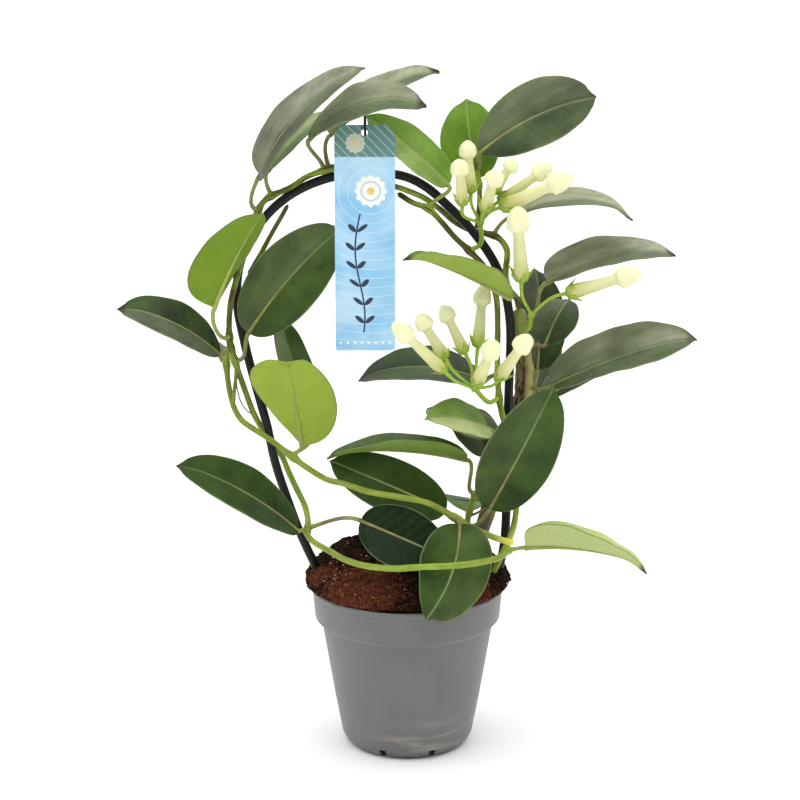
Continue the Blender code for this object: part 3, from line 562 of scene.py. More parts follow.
lift = add(bar, "ShaderNodeMath", [lift, given["Relief"]], operation="MULTIPLY")
lift = add(
    bar, "ShaderNodeVectorMath", {0: add(bar, "GeometryNodeInputNormal"), "Scale": lift}, operation="SCALE")
body = add(bar, "GeometryNodeSetPosition", {0: body, "Offset": lift})
body = add(bar, "GeometryNodeSetShadeSmooth", [body])
bar.links.new(add(bar, "GeometryNodeSetMaterial", {0: body, "Material": given["Skin"]}), result)

# Soft PVC coat: black with a satin gloss, faintly dusty.
coat, tree, shader, mm = new_material("black_pvc_coat", 0.36, 1.48)
shader.inputs["Specular IOR Level"].default_value = 0.3
dust = add(tree, "ShaderNodeTexNoise", {"Vector": mm, "Scale": 1 / 9, "Detail": 5.0})
share = add(tree, "ShaderNodeMapRange", [dust, 0.45, 0.8])
colour = add(tree, "ShaderNodeMix", {0: share, 6: "#070a09", 7: "#20241f"}, 2, data_type="RGBA")
grain = add(tree, "ShaderNodeTexNoise", {"Vector": mm, "Scale": 1 / 1.5})
rough = add(tree, "ShaderNodeMapRange", [dust, 0.0, 1.0, 0.3, 0.55])
painted(tree, shader, colour, grain, 0.2, 0.3, rough)

hoop_line = smooth_line([(x, 0, z) for x, z in HOOP_LINE], 2.0)
hoop = grown(
    "hoop_wire", line_mesh("hoop_wire", [hoop_line], girth=[HOOP_RADIUS * MM] * len(hoop_line)), bar,
    Sides=24, Relief=0.12 * MM, Grain=250.0, Drawn_out=4.0, Skin=coat)
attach(hoop, "root")
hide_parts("hoop")


# The stems. Twining shoots of one plant: the oldest is woody, brown and fissured, the others are green,
# swollen where leaves leave them, and bear olive streaks where the sun has reached them.

# Each stem: radius in mm, share of it left at the tip, and middle line in mm.
STEMS = {
    "woody_stem": (4.4, 0.95, (
        (36, 10, 78), (39, 10, 102), (42.5, 9, 122), (49, 8, 143), (54.5, 8.5, 162), (60, 9, 179),
        (65.5, 8.5, 198), (70, 8, 217), (71.3, 7.5, 235), (70, 6.5, 252), (68.3, 6, 265), (67, 6, 275))),
    "vine_front": (1.6, 0.85, (
        (61, -33, 134.5), (55, -49, 135.5), (44, -60, 136), (27, -66.5, 136), (8, -67.5, 135.5),
        (-9, -66, 134), (-25, -61, 134),
        (-37, -53, 135), (-47, -42, 137), (-56, -30, 138), (-61, -18, 139.5), (-61, -8, 144),
        (-63, 1, 151), (-68, 7, 160), (-73, 9.5, 170), (-77.5, 8, 182), (-84, 6, 192),
        (-89.5, 4, 201), (-94.5, 0, 213), (-99.5, -2, 229), (-104, -4, 244), (-107, -6, 259),
        (-106, -7, 280), (-101, -7, 299), (-95, -6.5, 317), (-90, -5, 333), (-84, -3, 343),
        (-69.3, -1.8, 350.0), (-60, -1, 356), (-48, -1, 360.5), (-37, 2, 362.5))),
    "vine_cross": (1.6, 0.85, (
        (64, -19, 134.5), (55, -22, 138), (41, -28, 146), (25, -35, 157.5), (12, -39, 166), (-5, -40, 170),
        (-23, -36, 172), (-38, -31, 175.5), (-49, -26, 177), (-61, -18, 182), (-69, -11, 186),
        (-77, -6.5, 191), (-84, -4.7, 196), (-94, -5.5, 203), (-101, -4, 208), (-106, 0, 216),
        (-109, 4, 228), (-110, 5, 240), (-110, 3, 251))),
    "vine_left_tip": (1.2, 0.85, (
        (-95, 3, 297), (-88, 4, 309), (-81.5, 3, 321), (-76, 2, 330.5), (-71.2, 0.4, 339.2))),
    "vine_right_loop": (1.6, 0.85, (
        (66.9, 5.9, 275.9), (66.4, 4.6, 279.5), (64, 0, 284.5), (60, -6, 289.5), (58, -9, 295),
        (58.5, -9, 304), (59, -5, 313), (54, 2, 319), (46, 7, 321), (37, 7, 323), (28, 6, 328),
        (19, 5, 336), (10, 1, 343), (1, -5, 348), (-7, -6.5, 351), (-17, -5.5, 352))),
    "vine_right_pole": (1.6, 0.85, (
        (46, -12, 80), (49.5, -11, 103), (56.5, -8.5, 120), (64.5, -6, 138), (67, -5.5, 156), (66, -6, 176),
        (61.5, -7, 197), (57, -7, 213), (55, -6.5, 226), (54, -6, 246), (54, -5.5, 267), (53, -2, 284),
        (47, 0, 300), (37.5, -1.5, 311), (28, -4.5, 320.5), (20, -6, 330), (12, -6, 338), (3, -3, 341),
        (-6, 1, 346))),
    "shoot_middle": (1.2, 0.85, (
        (31, -4, 88), (33, -4, 112), (35, -3, 132), (38, -1, 148), (41.5, 1, 161))),
    "shoot_top": (1.2, 0.85, (
        (41.5, 7, 324.0), (42.5, 8, 334), (43, 9, 344), (42, 8.5, 355), (39.5, 7, 364))),
}
# Each leaf, in mm: stem, place of its foot, base and tip of the blade, width, way its upper side faces,
# bow of the midrib, fold of the halves in degrees, where along it is broadest, sideways sweep. Leaves and
# sprays are listed here because the stems swell where they leave them.
LEAVES = {
    "leaf_top_1": (
        "vine_front", (-88, -4.3, 336), (-87.5, -4, 358), (-28, -12, 421),
        39, (-0.6, -0.4, 0.6), 9, 12, 0.29, 1),
    "leaf_top_2": (
        "vine_front", (-81, -2, 345), (-83, 6, 359), (-42, 43, 391),
        36, (-0.5, -0.2, 0.8), 4, 8, 0.47, 0),
    "leaf_top_3": (
        "vine_front", (-46, -0.6, 360.9), (-46, 8, 380), (15, 24, 417),
        38, (-0.35, -0.25, 0.9), 6, 10, 0.47, 0),
    "leaf_top_4": (
        "vine_front", (-49, -1, 360.2), (-58, -4, 379), (6, -18, 404),
        38, (-0.25, -0.4, 0.9), 10, 8, 0.55, 0),
    "leaf_top_5": (
        "vine_right_pole", (12, -6, 338), (24, -6, 352), (-23, 4, 391),
        29, (0.45, -0.65, 0.5), 3, 8, 0.47, 0),
    "leaf_top_6": (
        "shoot_top", (40.5, 7.5, 360.5), (43, 3, 370), (108, 0, 403),
        43, (-0.25, -0.85, 0.45), 3, 8, 0.55, -4),
    "leaf_top_7": (
        "shoot_top", (42, 9, 350), (41, 14, 353), (35, 24, 397),
        36, (-0.2, -0.9, 0.2), 3, 8, 0.47, 0),
    "leaf_left_1": (
        "vine_front", (-107, -6, 260), (-114, -27, 282.5), (-85, -40.5, 340),
        43, (-0.6, 0.76, 0.07), 3, 38, 0.28, 0),
    "leaf_left_2": (
        "vine_front", (-104, -4, 245), (-95, -12, 264), (-41, -7.5, 325.5),
        43, (-0.1, -0.95, 0.25), 1, 6, 0.47, -3),
    "leaf_left_3": (
        "vine_front", (-106, -5, 253), (-113, -9, 250), (-168, -20, 281.5),
        30, (0.1, -0.55, 0.8), 7, 10, 0.52, 0),
    "leaf_left_4": (
        "vine_cross", (-110, 4, 240), (-113, 9, 243), (-134, 60, 245),
        26, (0.5, 0, 0.8), 3, 8, 0.47, 0),
    "leaf_left_5": (
        "vine_cross", (-71, -10, 187), (-60, 7, 195), (-79, 27, 264),
        24, (0.5, -0.85, 0.15), 3, 20, 0.47, 0),
    "leaf_left_6": (
        "vine_cross", (-69, -11, 186), (-64, -14, 194.5), (-71, -46, 257),
        49, (0.0, 0.83, 0.55), 3, 6, 0.47, 0),
    "leaf_left_7": (
        "vine_front", (-62, -14, 140), (-67, -15, 141), (-134, -36, 189),
        37, (0.35, -0.5, 0.75), 6, 8, 0.5, 0),
    "leaf_low_1": (
        "shoot_middle", (41, 1, 160), (36, -4, 183), (-46, -16, 190),
        36, (0.0, 0.14, 1.0), 4, 30, 0.47, 0),
    "leaf_low_2": (
        "vine_cross", (30, -33, 154), (23, -19, 155), (-45, -12, 183.5),
        34, (0.1, -0.9, 0.45), 3, 8, 0.47, 0),
    "leaf_low_3": (
        "vine_front", (-61, -12, 140), (-28, -30, 152), (22, -47, 135),
        37, (0.2, -0.95, 0.25), 5, 8, 0.5, 0),
    "leaf_low_4": (
        "vine_cross", (28, -34, 156), (31, -42, 154), (12, -69, 105),
        45, (0.3, -0.85, 0.35), 1, 6, 0.4, -5),
    "leaf_low_5": (
        "shoot_middle", (36.5, -2, 141), (50, -18, 156), (85, -36, 234),
        43, (0.1, -0.95, 0.15), 3, 8, 0.47, 0),
    "leaf_low_6": (
        "vine_front", (61, -33, 134.5), (71, -34, 136.5), (141, -48, 130.5),
        38, (0.0, 0.26, 0.97), 4, 45, 0.3, 0),
    "leaf_right_1": (
        "woody_stem", (70.7, 8, 226), (87, -4, 229), (168.5, -20, 263),
        42, (0.0, -0.45, 0.89), 4, 22, 0.44, 0),
    "leaf_right_2": (
        "woody_stem", (70, 8, 217), (87, 10, 218), (124, 44, 228),
        34, (-0.2, -0.1, 0.95), 4, 8, 0.47, 0),
    "leaf_right_3": (
        "woody_stem", (68, 6, 268), (83.5, -2, 293), (157.5, 4, 311),
        41, (0.0, -0.25, 0.97), 5, 19, 0.38, 0),
    "leaf_right_4": (
        "vine_right_loop", (50, 3, 320), (63, 6, 332), (132.5, 10, 334),
        38, (0.0, -0.1, 1.0), 8, 8, 0.47, 0),
    "leaf_right_5": (
        "vine_right_loop", (58, -9, 294), (60, -20, 287), (1, -33, 315.5),
        32, (0.05, 0.16, 0.98), 2, 40, 0.47, 0),
    "leaf_right_6": (
        "woody_stem", (71, 7, 238), (80, 26, 232), (80, 46, 290),
        38, (0.5, -0.8, 0.1), 3, 8, 0.47, 0),
    "leaf_right_7": (
        "woody_stem", (70, 6.5, 252), (84, 10, 252), (98, 30, 275),
        29, (-0.3, -0.8, 0.4), 3, 8, 0.47, 0),
    "leaf_right_8": (
        "woody_stem", (67.5, 8, 208), (78, 32, 208), (91, 74, 242),
        30, (-0.4, -0.7, 0.5), 3, 8, 0.47, 0),
    "leaf_mid_1": (
        "vine_right_pole", (54, -6, 236), (44, -2, 233), (-28, 8, 232),
        40, (0.0, -0.3, 0.95), 8, 8, 0.47, 0),
    "leaf_mid_2": (
        "vine_right_pole", (60.5, -7, 201), (48.5, -14.0, 205.5), (13, -31.5, 217),
        34, (0.0, -0.45, 0.89), 3, 8, 0.4, 0),
    "leaf_mid_3": (
        "vine_right_pole", (61.5, -7, 197), (51, 0, 195.5), (14, 30, 206.5),
        34, (0.0, -0.1, 1.0), 1.5, 6, 0.47, 0),
    "leaf_mid_4": (
        "shoot_middle", (41, 1, 160), (49, 8, 181), (33, 42, 203),
        30, (0.2, -0.6, 0.7), 3, 8, 0.47, 0),
    "leaf_mid_5": (
        "shoot_middle", (38, -1, 148), (40, 16, 150), (40, 64, 130),
        36, (0.0, 0.3, 0.9), 4, 8, 0.47, 0),
}
# Each flower spray, in mm: stem, place of its foot, the hub where the bud stalks meet, and for each bud
# the calyx, the middle of the head and the head's radius.
SPRAYS = {
    "buds_top": ("vine_right_pole", (37, -2, 312), (43, -9, 330), (
        ((37, -13, 349), (35, -14, 374), 5.2), ((32, -19, 343), (30, -26, 365), 5.4),
        ((45, -20, 340), (50, -29, 359), 5.6), ((50, -13, 349), (60, -14, 364), 5.0),
        ((54, -11, 343), (80, -13, 362), 5.2), ((55, -18, 341), (90, -26, 358), 6.4))),
    "buds_right": ("woody_stem", (70, 3, 264), (74, -7, 274), (
        ((67, -20, 298), (64, -31, 337), 6.6), ((95, -16, 289), (131, -26, 302), 6.2))),
    "buds_middle": ("vine_right_pole", (54, -6, 222), (40, -22, 232), (
        ((21, -36, 247), (-5, -51, 275), 5.4), ((22, -24, 252), (9, -28, 274), 5.4),
        ((34, -17, 253), (23, -13, 276), 5.2), ((42, -12, 256), (45, 0, 285), 5.6),
        ((41, -31, 238), (49, -46, 262), 6.0), ((54, -30, 241), (68, -46, 266), 5.8))),
}
STEM_STEP = 1.5
NODE_SWELL = 0.9
STEM_BARK = 0.35
NODE_REACH = 3.2


def stem_girths(name, line):
    """How thick a stem is at each point, in metres: it tapers, swells at its nodes and ends blunt."""
    radius, taper, _ = STEMS[name]
    feet = [Vector(row[1]) for row in (*LEAVES.values(), *SPRAYS.values()) if row[0] == name]
    girths = []
    for k, place in enumerate(line):
        share = k / (len(line) - 1)
        girth = radius * (1 + (taper - 1) * share)
        if name == "woody_stem":
            girth *= 0.84 + 0.3 * math.sin(math.pi * share**1.3)
        swell = max([math.exp(-((place - foot).length / NODE_REACH)**2) for foot in feet] or [0.0])
        girth += STEM_BARK + NODE_SWELL * swell + 0.08 * noise.noise(place / 6)
        left = (len(line) - 1 - k) * STEM_STEP
        girth *= min(1.0, 0.35 + 0.4 * left)
        girths.append(girth * MM)
    return girths


# Young bark: yellow green and ribbed along, smooth near the mix, higher up olive to brown where it has
# hardened, with dark streaks. The cut end of the crossing vine is fresh and yellow. The straightened place
# is in metres: 1000 takes it to mm, and less than that along the stem draws the pattern out.
CUT_END = (64.0, -19.0, 134.5)
green_bark, tree, shader, mm = new_material("young_green_bark", 0.5, 1.42)
shader.inputs["Specular IOR Level"].default_value = 0.3
straight = add(tree, "ShaderNodeAttribute", out="Vector", attribute_name="straight")
height = add(tree, "ShaderNodeSeparateXYZ", [mm], "Z")
weathered = add(tree, "ShaderNodeMapRange", [height, 205.0, 290.0, 0.35, 1.0])
cloud = add(tree, "ShaderNodeTexNoise", {"Vector": mm, "Scale": 1 / 12})
colour = add(tree, "ShaderNodeMix", {0: cloud, 6: "#7d982b", 7: "#a3b94a"}, 2, data_type="RGBA")
hard = add(tree, "ShaderNodeTexNoise", {"Vector": mm, "Scale": 1 / 26, "Detail": 3.0, "Roughness": 0.6})
hard = add(tree, "ShaderNodeMapRange", [hard, 0.4, 0.56])
hard = add(tree, "ShaderNodeMath", [hard, weathered], operation="MULTIPLY")
colour = add(tree, "ShaderNodeMix", {0: hard, 6: colour, 7: "#69652b"}, 2, data_type="RGBA")
drawn = add(tree, "ShaderNodeVectorMath", [straight, (1000.0, 1000.0, 110.0)], operation="MULTIPLY")
streak = add(tree, "ShaderNodeTexNoise", {"Vector": drawn, "Scale": 1 / 1.9, "Detail": 4.0, "Roughness": 0.6})
dark = add(tree, "ShaderNodeMapRange", [streak, 0.48, 0.62, 0.0, 0.9])
dark = add(tree, "ShaderNodeMath", [dark, weathered], operation="MULTIPLY")
colour = add(tree, "ShaderNodeMix", {0: dark, 6: colour, 7: "#433b1c"}, 2, data_type="RGBA")
off = add(tree, "ShaderNodeVectorMath", [mm, CUT_END], "Value", operation="DISTANCE")
fresh = add(tree, "ShaderNodeMapRange", [off, 14.0, 3.0])
colour = add(tree, "ShaderNodeMix", {0: fresh, 6: colour, 7: "#efdc66"}, 2, data_type="RGBA")
drawn = add(tree, "ShaderNodeVectorMath", [straight, (1000.0, 1000.0, 60.0)], operation="MULTIPLY")
ribs = add(tree, "ShaderNodeTexNoise", {"Vector": drawn, "Scale": 1 / 0.7})
painted(tree, shader, colour, ribs, 0.6, 0.35)

# Old bark: grey brown with pale corky ridges and dark fissures along it; the side facing +X is painted pale
# tan as if lit, a painted highlight, and the top is still green and smooth.
old_bark, tree, shader, mm = new_material("fissured_bark", 0.8, 1.4)
straight = add(tree, "ShaderNodeAttribute", out="Vector", attribute_name="straight")
drawn = add(tree, "ShaderNodeVectorMath", [straight, (1000.0, 1000.0, 130.0)], operation="MULTIPLY")
fissure = add(
    tree, "ShaderNodeTexNoise", {"Vector": drawn, "Scale": 1 / 1.7, "Detail": 5.0, "Roughness": 0.6})
share = add(tree, "ShaderNodeMapRange", [fissure, 0.42, 0.6])
colour = add(tree, "ShaderNodeMix", {0: share, 6: "#33261a", 7: "#8f7d55"}, 2, data_type="RGBA")
# Painted highlight: the more the bark faces +X, the paler tan it is painted.
lit_side = add(tree, "ShaderNodeSeparateXYZ", [add(tree, "ShaderNodeNewGeometry", out="Normal")], "X")
height = add(tree, "ShaderNodeSeparateXYZ", [mm], "Z")
TINTS = (
    (lit_side, 0.05, 0.6, 0.85, "#b9b36e"), (height, 243.0, 262.0, 0.9, "#94a058"),
    (height, 170.0, 140.0, 0.7, "#6d665a"))
for value, low, high, most, tint in TINTS:
    share = add(tree, "ShaderNodeMapRange", [value, low, high, 0.0, most])
    colour = add(tree, "ShaderNodeMix", {0: share, 6: colour, 7: tint}, 2, data_type="RGBA")
painted(tree, shader, colour, fissure, 0.9, 0.8)

for name, (radius, taper, points) in STEMS.items():
    line = smooth_line(points, STEM_STEP)
    woody = name == "woody_stem"
    stem = grown(
        name + "_bark", line_mesh(name, [line], girth=stem_girths(name, line)), bar,
        Sides=28 if woody else 16, Relief=(0.9 if woody else 0.3) * MM, Grain=450.0 if woody else 700.0,
        Drawn_out=8.0, Skin=old_bark if woody else green_bark)
    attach(stem, "root")
    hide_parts(name)

# Small growth beside the stems: a thin green strand and a dried tendril between the two long stems at the
# left leg, and a bare twig on the middle shoot. Each: radius, skin and line.
SMALL_GROWTH = {
    "side_strand": (1.15, green_bark, (
        (-104.2, -4.2, 248), (-103.6, -4.6, 241), (-103.9, -4.2, 234), (-105, -2.6, 226),
        (-105.8, -0.6, 217))),
    "dry_tendril": (0.45, old_bark, (
        (-103, -5.3, 240), (-103.2, -7, 231), (-101.4, -7.5, 222), (-98.3, -5, 215), (-94.8, -1.8, 211))),
    "dry_twig": (0.8, old_bark, (
        (37.2, -1.5, 145.5), (41, -2.5, 147.5), (44.5, -1.8, 149), (48, -0.5, 151.5))),
}
for name, (radius, skin, points) in SMALL_GROWTH.items():
    line = smooth_line(points, 0.8)
    growth = grown(
        name, line_mesh(name, [line], girth=[radius * MM] * len(line)), bar, Sides=10, Relief=0.15 * MM,
        Grain=900.0, Drawn_out=6.0, Skin=skin)
    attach(growth, "root")


# The leaves. Leathery oval blades in pairs: the upper side is deep green with a waxy bloom and painted sheen,
# darker where painted shade lies on it, and a pale midrib; the under side bright and finely netted. The stalk
# bends into the midrib that stiffens the blade.

BLADE = 0.7
GROOVE = 0.35
GROOVE_WIDTH = 1.1
STALK_RADIUS = 1.2
BLADE_STATIONS = 60
BLADE_COLUMNS = 29
COLUMNS_BUNCHED = 0.8
SAME_PLACE = 0.01
TIP_POINT = 2.6
POINT_FROM = 0.985
HOOK_FROM = 0.8
STALK_STEPS = 14
DEEP_FOLD = 15
# How each blade differs: 0 to 1 for young and bright; -1 to 1 from deep and saturated, painted shade for a
# leaf that sits in shadow, to pale with bloom and painted sheen for a leaf that catches the light; hook of
# its tip and wave of its margin, in mm.
LEAF_LOOKS = {
    "leaf_top_1": (0.0, 0.85, 1, 1.0), "leaf_top_2": (0.35, 0.3, 3, 1.0), "leaf_top_3": (0.1, 0.7, 3, 1.4),
    "leaf_top_4": (0.1, 0.5, 5, 1.2), "leaf_top_5": (1.0, 0.4, 0, 1.6), "leaf_top_6": (0.05, 0.5, 1, 1.0),
    "leaf_top_7": (0.9, 0.0, 1, 1.0), "leaf_left_1": (1.0, -1.0, 0, 0.8), "leaf_left_2": (0.1, 0.3, 0, 1.0),
    "leaf_left_3": (0.0, 0.2, 3, 1.0), "leaf_left_4": (0.0, 0.3, 1, 1.0), "leaf_left_5": (0.1, 0.5, 1, 1.0),
    "leaf_left_6": (1.0, 0.1, 0, 0.8), "leaf_left_7": (0.15, -0.4, 2, 1.0), "leaf_low_1": (0.3, -0.2, 2, 1.0),
    "leaf_low_2": (0.6, -0.8, 0, 1.0), "leaf_low_3": (0.0, -1.0, 0, 1.0), "leaf_low_4": (0.1, 0.1, 0, 1.0),
    "leaf_low_5": (0.1, 0.1, 0, 1.0), "leaf_low_6": (0.9, 1.0, 4, 1.0), "leaf_right_1": (0.05, 0.6, 2, 2.2),
    "leaf_right_3": (0.05, 0.8, 3, 1.2), "leaf_right_4": (0.15, 0.75, 5, 0.8),
    "leaf_right_5": (0.75, 0.15, 3, 1.4), "leaf_right_6": (0.0, 0.35, 1, 1.0),
    "leaf_right_7": (0.0, 0.35, 1, 1.0), "leaf_right_8": (0.0, 0.4, 1, 1.0),
    "leaf_mid_1": (0.05, 0.05, 2, 1.0), "leaf_mid_2": (0.8, 0.9, 1, 1.5), "leaf_mid_3": (0.0, 0.6, 1, 1.0),
    "leaf_mid_4": (0.05, 0.4, 1, 1.0),
}
PLAIN_LOOK = (0.0, 0.1, 1, 1.0)
# How far the tip of a blade that curls under is drawn back, and over what width, in mm.
CURLED_TIPS = {"leaf_left_6": 8.0}
CURL_WIDTH = 7.0
# Where along it each half of an uneven blade is broadest.
UNEVEN = {"leaf_left_6": (0.4, 0.72)}


def tangents(line):
    """The way along a line at each of its points."""
    result = []
    for k in range(len(line)):
        result.append((line[min(k + 1, len(line) - 1)] - line[max(k - 1, 0)]).normalized())
    return result


def carried_sides(ways, side):
    """The side direction carried along a line without turning round it."""
    result = []
    for before, way in zip([ways[0]] + ways, ways):
        side = before.rotation_difference(way) @ side
        side = (side - side.dot(way) * way).normalized()
        result.append(side.copy())
    return result


def seat_on(stem, place, toward):
    """The point on a stem's side nearest to a place, and the way out from the stem there."""
    radius, taper, line = STEMS[stem]
    fine = smooth_line(line, 1.0)
    place = Vector(place)
    at = min(range(len(fine)), key=lambda k: (fine[k] - place).length)
    way = tangents(fine)[at]
    out = Vector(toward) - fine[at]
    if 0 < at < len(fine) - 1:
        out -= out.dot(way) * way
    out.normalize()
    radius *= 1 + (taper - 1) * at / (len(fine) - 1)
    return fine[at] + out * radius, out


def half_width(share, width, broadest):
    """Half the width of an oval blade at a share of its length."""
    turn = math.log(0.5) / math.log(broadest)
    return 0.5 * width * math.sin(math.pi * min(0.999, max(0.0, share)) ** turn) ** 0.45


def fold_at(fold, share):
    """How far the halves are folded up, in degrees: a deep fold opens towards the tip."""
    return fold * (1.25 - 0.75 * share) if fold > DEEP_FOLD else fold


def leaf_line(name):
    """A mesh of two lines with what the tree needs on each point: the blade's middle, and the stalk that
    runs on into the midrib."""
    stem, place, base, tip, width, face, bow, fold, broadest, sweep = LEAVES[name]
    hook = LEAF_LOOKS.get(name, PLAIN_LOOK)[2]
    base = Vector(base)
    chord = Vector(tip) - base
    along = chord.normalized()
    up = Vector(face)
    up = (up - up.dot(along) * along).normalized()
    side = along.cross(up)
    shares = [0.5 - 0.5 * math.cos(math.pi * k / BLADE_STATIONS) for k in range(BLADE_STATIONS + 1)]
    line = []
    spots = UNEVEN.get(name, (broadest, broadest))
    halves = []
    for t in shares:
        arch = 4 * t * (1 - t)
        spike = max(0.0, (t - POINT_FROM) / (1 - POINT_FROM))
        end = max(0.0, (t - HOOK_FROM) / (1 - HOOK_FROM))
        line.append(
            base + chord * t + up * (bow * arch - hook * end**2) + side * sweep * arch
            + (along - 0.5 * up) * (TIP_POINT * spike))
        wide = [max(half_width(t, width, spot), 0.9) * (1 - 0.85 * spike) + 0.05 for spot in spots]
        halves.append([MM * w for w in wide])
    ways = tangents(line)
    sides = carried_sides(ways, (side - side.dot(ways[0]) * ways[0]).normalized())
    rises = [across.cross(way) for across, way in zip(sides, ways)]
    curl = CURLED_TIPS.get(name, 0.0)
    backs = [curl * max(0.0, (t - HOOK_FROM) / (1 - HOOK_FROM)) ** 1.5 * MM for t in shares]
    foot, out = seat_on(stem, place, base)
    reach = (base - foot).length
    near = foot + out * (0.4 * reach)
    far = base - ways[0] * (0.35 * reach)
    rib = []
    girths = []
    for k in range(STALK_STEPS):
        t = k / STALK_STEPS
        s = 1 - t
        rib.append(foot * s**3 + near * (3 * t * s * s) + far * (3 * t * t * s) + base * t**3)
        girths.append(STALK_RADIUS * (1 + 0.35 * (1 - t)**6 + 0.25 * t**6))
    for t, centre, rise, way, back in zip(shares[:-4], line, rises, ways, backs):
        rib.append(centre - rise * (0.5 * BLADE + 0.25) - way * (back / MM))
        girths.append(0.22 + 1.05 * STALK_RADIUS * (1 - t)**1.3)
    nothing = Vector((0, 0, 0))
    more = len(rib)
    return line_mesh(
        name, [line, rib], is_blade=[True] * len(line) + [False] * more, share=shares + [0.0] * more,
        left_half=[h[0] for h in halves] + [0.0] * more, right_half=[h[1] for h in halves] + [0.0] * more,
        lean=[math.radians(fold_at(fold, t)) for t in shares] + [0.0] * more, back=backs + [0.0] * more,
        girth=[0.0] * len(line) + [MM * g for g in girths], across=sides + [nothing] * more,
        rise=rises + [nothing] * more, way=ways + [nothing] * more)


# The tree spreads a sheet across the blade's middle line, folds and waves it, gives it its thickness and
# adds the stalk and midrib. It keeps each point's place across and along the blade for the veins.
leaf, given, result = new_tree(
    "oval leaf", Columns="Int", Wave="Float", Seed="Float", Thickness="Float", Groove="Float",
    Youth="Float", Tone="Float", Hook="Float", Upper_side="Material", Under_side="Material", Stalk="Material")
is_blade = add(leaf, "GeometryNodeInputNamedAttribute", ["is_blade"], data_type="BOOLEAN")
lines = add(leaf, "GeometryNodeMeshToCurve", [given["Geometry"]])
length = add(leaf, "GeometryNodeSplineParameter", out="Length")
lines = add(leaf, "GeometryNodeStoreNamedAttribute", {0: lines, "Name": "along", "Value": length})
parts = add(leaf, "GeometryNodeSeparateGeometry", {0: lines, "Selection": is_blade})
rib = parts.node.outputs["Inverted"]
ruler = add(leaf, "GeometryNodeCurvePrimitiveLine", [(-1.0, 0.0, 0.0), (1.0, 0.0, 0.0)])
ruler = add(leaf, "GeometryNodeResampleCurve", {0: ruler, "Count": given["Columns"]})
where = add(leaf, "GeometryNodeInputPosition")
u = add(leaf, "ShaderNodeSeparateXYZ", [where], "X")
# Columns stand closer at the midrib and at the margins.
bunch = add(leaf, "ShaderNodeMath", [u, 2 * math.pi], operation="MULTIPLY")
bunch = add(leaf, "ShaderNodeMath", [bunch], operation="SINE")
u = add(leaf, "ShaderNodeMath", [bunch, -COLUMNS_BUNCHED / (2 * math.pi), u], operation="MULTIPLY_ADD")
ruler = add(leaf, "GeometryNodeStoreNamedAttribute", {0: ruler, "Name": "u", "Value": u})
parts = add(
    leaf, "GeometryNodeStoreNamedAttribute", {0: parts, "Name": "middle", 3: where}, data_type="FLOAT_VECTOR")
sheet = add(leaf, "GeometryNodeCurveToMesh", [parts, ruler])
number = {}
for key in ("u", "share", "left_half", "right_half", "lean", "back", "along"):
    number[key] = add(leaf, "GeometryNodeInputNamedAttribute", [key], data_type="FLOAT")
for key in ("middle", "across", "rise", "way"):
    number[key] = add(leaf, "GeometryNodeInputNamedAttribute", [key], data_type="FLOAT_VECTOR")
on_right = add(leaf, "FunctionNodeCompare", [number["u"]], operation="GREATER_THAN")
half = add(
    leaf, "GeometryNodeSwitch", [on_right, number["left_half"], number["right_half"]], input_type="FLOAT")
beside = add(leaf, "ShaderNodeMath", [number["u"], half], operation="MULTIPLY")
level_share = add(leaf, "ShaderNodeMath", [number["lean"]], operation="COSINE")
out_by = add(leaf, "ShaderNodeMath", [beside, level_share], operation="MULTIPLY")
level = add(leaf, "ShaderNodeMath", [beside], operation="ABSOLUTE")
steep_share = add(leaf, "ShaderNodeMath", [number["lean"]], operation="SINE")
up_by = add(leaf, "ShaderNodeMath", [level, steep_share], operation="MULTIPLY")
ripple_at = add(leaf, "ShaderNodeCombineXYZ", {"X": number["share"], "Y": number["u"], "Z": given["Seed"]})
ripple_at = add(leaf, "ShaderNodeVectorMath", [ripple_at, (3.2, 0.8, 7.0)], operation="MULTIPLY")
ripple = add(leaf, "ShaderNodeTexNoise", {"Vector": ripple_at, "Scale": 1.0, "Detail": 1.0})
ripple = add(leaf, "ShaderNodeMapRange", [ripple, 0.25, 0.75, -1.0])
at_edge = add(leaf, "ShaderNodeMath", [number["u"], 2.0], operation="POWER")
ripple = add(leaf, "ShaderNodeMath", [ripple, at_edge], operation="MULTIPLY")
up_by = add(leaf, "ShaderNodeMath", [ripple, given["Wave"], up_by], operation="MULTIPLY_ADD")
hollow = add(leaf, "ShaderNodeMath", [level, GROOVE_WIDTH * MM], operation="DIVIDE")
hollow = add(leaf, "ShaderNodeMath", [hollow, hollow], operation="MULTIPLY")
hollow = add(leaf, "ShaderNodeMath", [0.37, hollow], operation="POWER")
up_by = add(leaf, "ShaderNodeMath", [hollow, given["Groove"], up_by], operation="MULTIPLY_ADD")
half_thick = add(leaf, "ShaderNodeMath", [given["Thickness"], -0.5], operation="MULTIPLY")
up_by = add(leaf, "ShaderNodeMath", [up_by, half_thick])
off = add(leaf, "ShaderNodeMath", [out_by, CURL_WIDTH * MM], operation="DIVIDE")
off = add(leaf, "ShaderNodeMath", [off, off], operation="MULTIPLY")
keep = add(leaf, "ShaderNodeMath", [1 / math.e, off], operation="POWER")
back_by = add(leaf, "ShaderNodeMath", [number["back"], keep], operation="MULTIPLY")
back_by = add(leaf, "ShaderNodeMath", [back_by, -1.0], operation="MULTIPLY")
spot = number["middle"]
for direction, by in (("across", out_by), ("rise", up_by), ("way", back_by)):
    step = add(leaf, "ShaderNodeVectorMath", {0: number[direction], "Scale": by}, operation="SCALE")
    spot = add(leaf, "ShaderNodeVectorMath", [spot, step])
sheet = add(leaf, "GeometryNodeSetPosition", {0: sheet, "Position": spot})
veins = add(leaf, "ShaderNodeCombineXYZ", {"X": beside, "Y": number["along"], "Z": number["u"]})
sheet = add(
    leaf, "GeometryNodeStoreNamedAttribute", {0: sheet, "Name": "blade", 3: veins}, data_type="FLOAT_VECTOR")
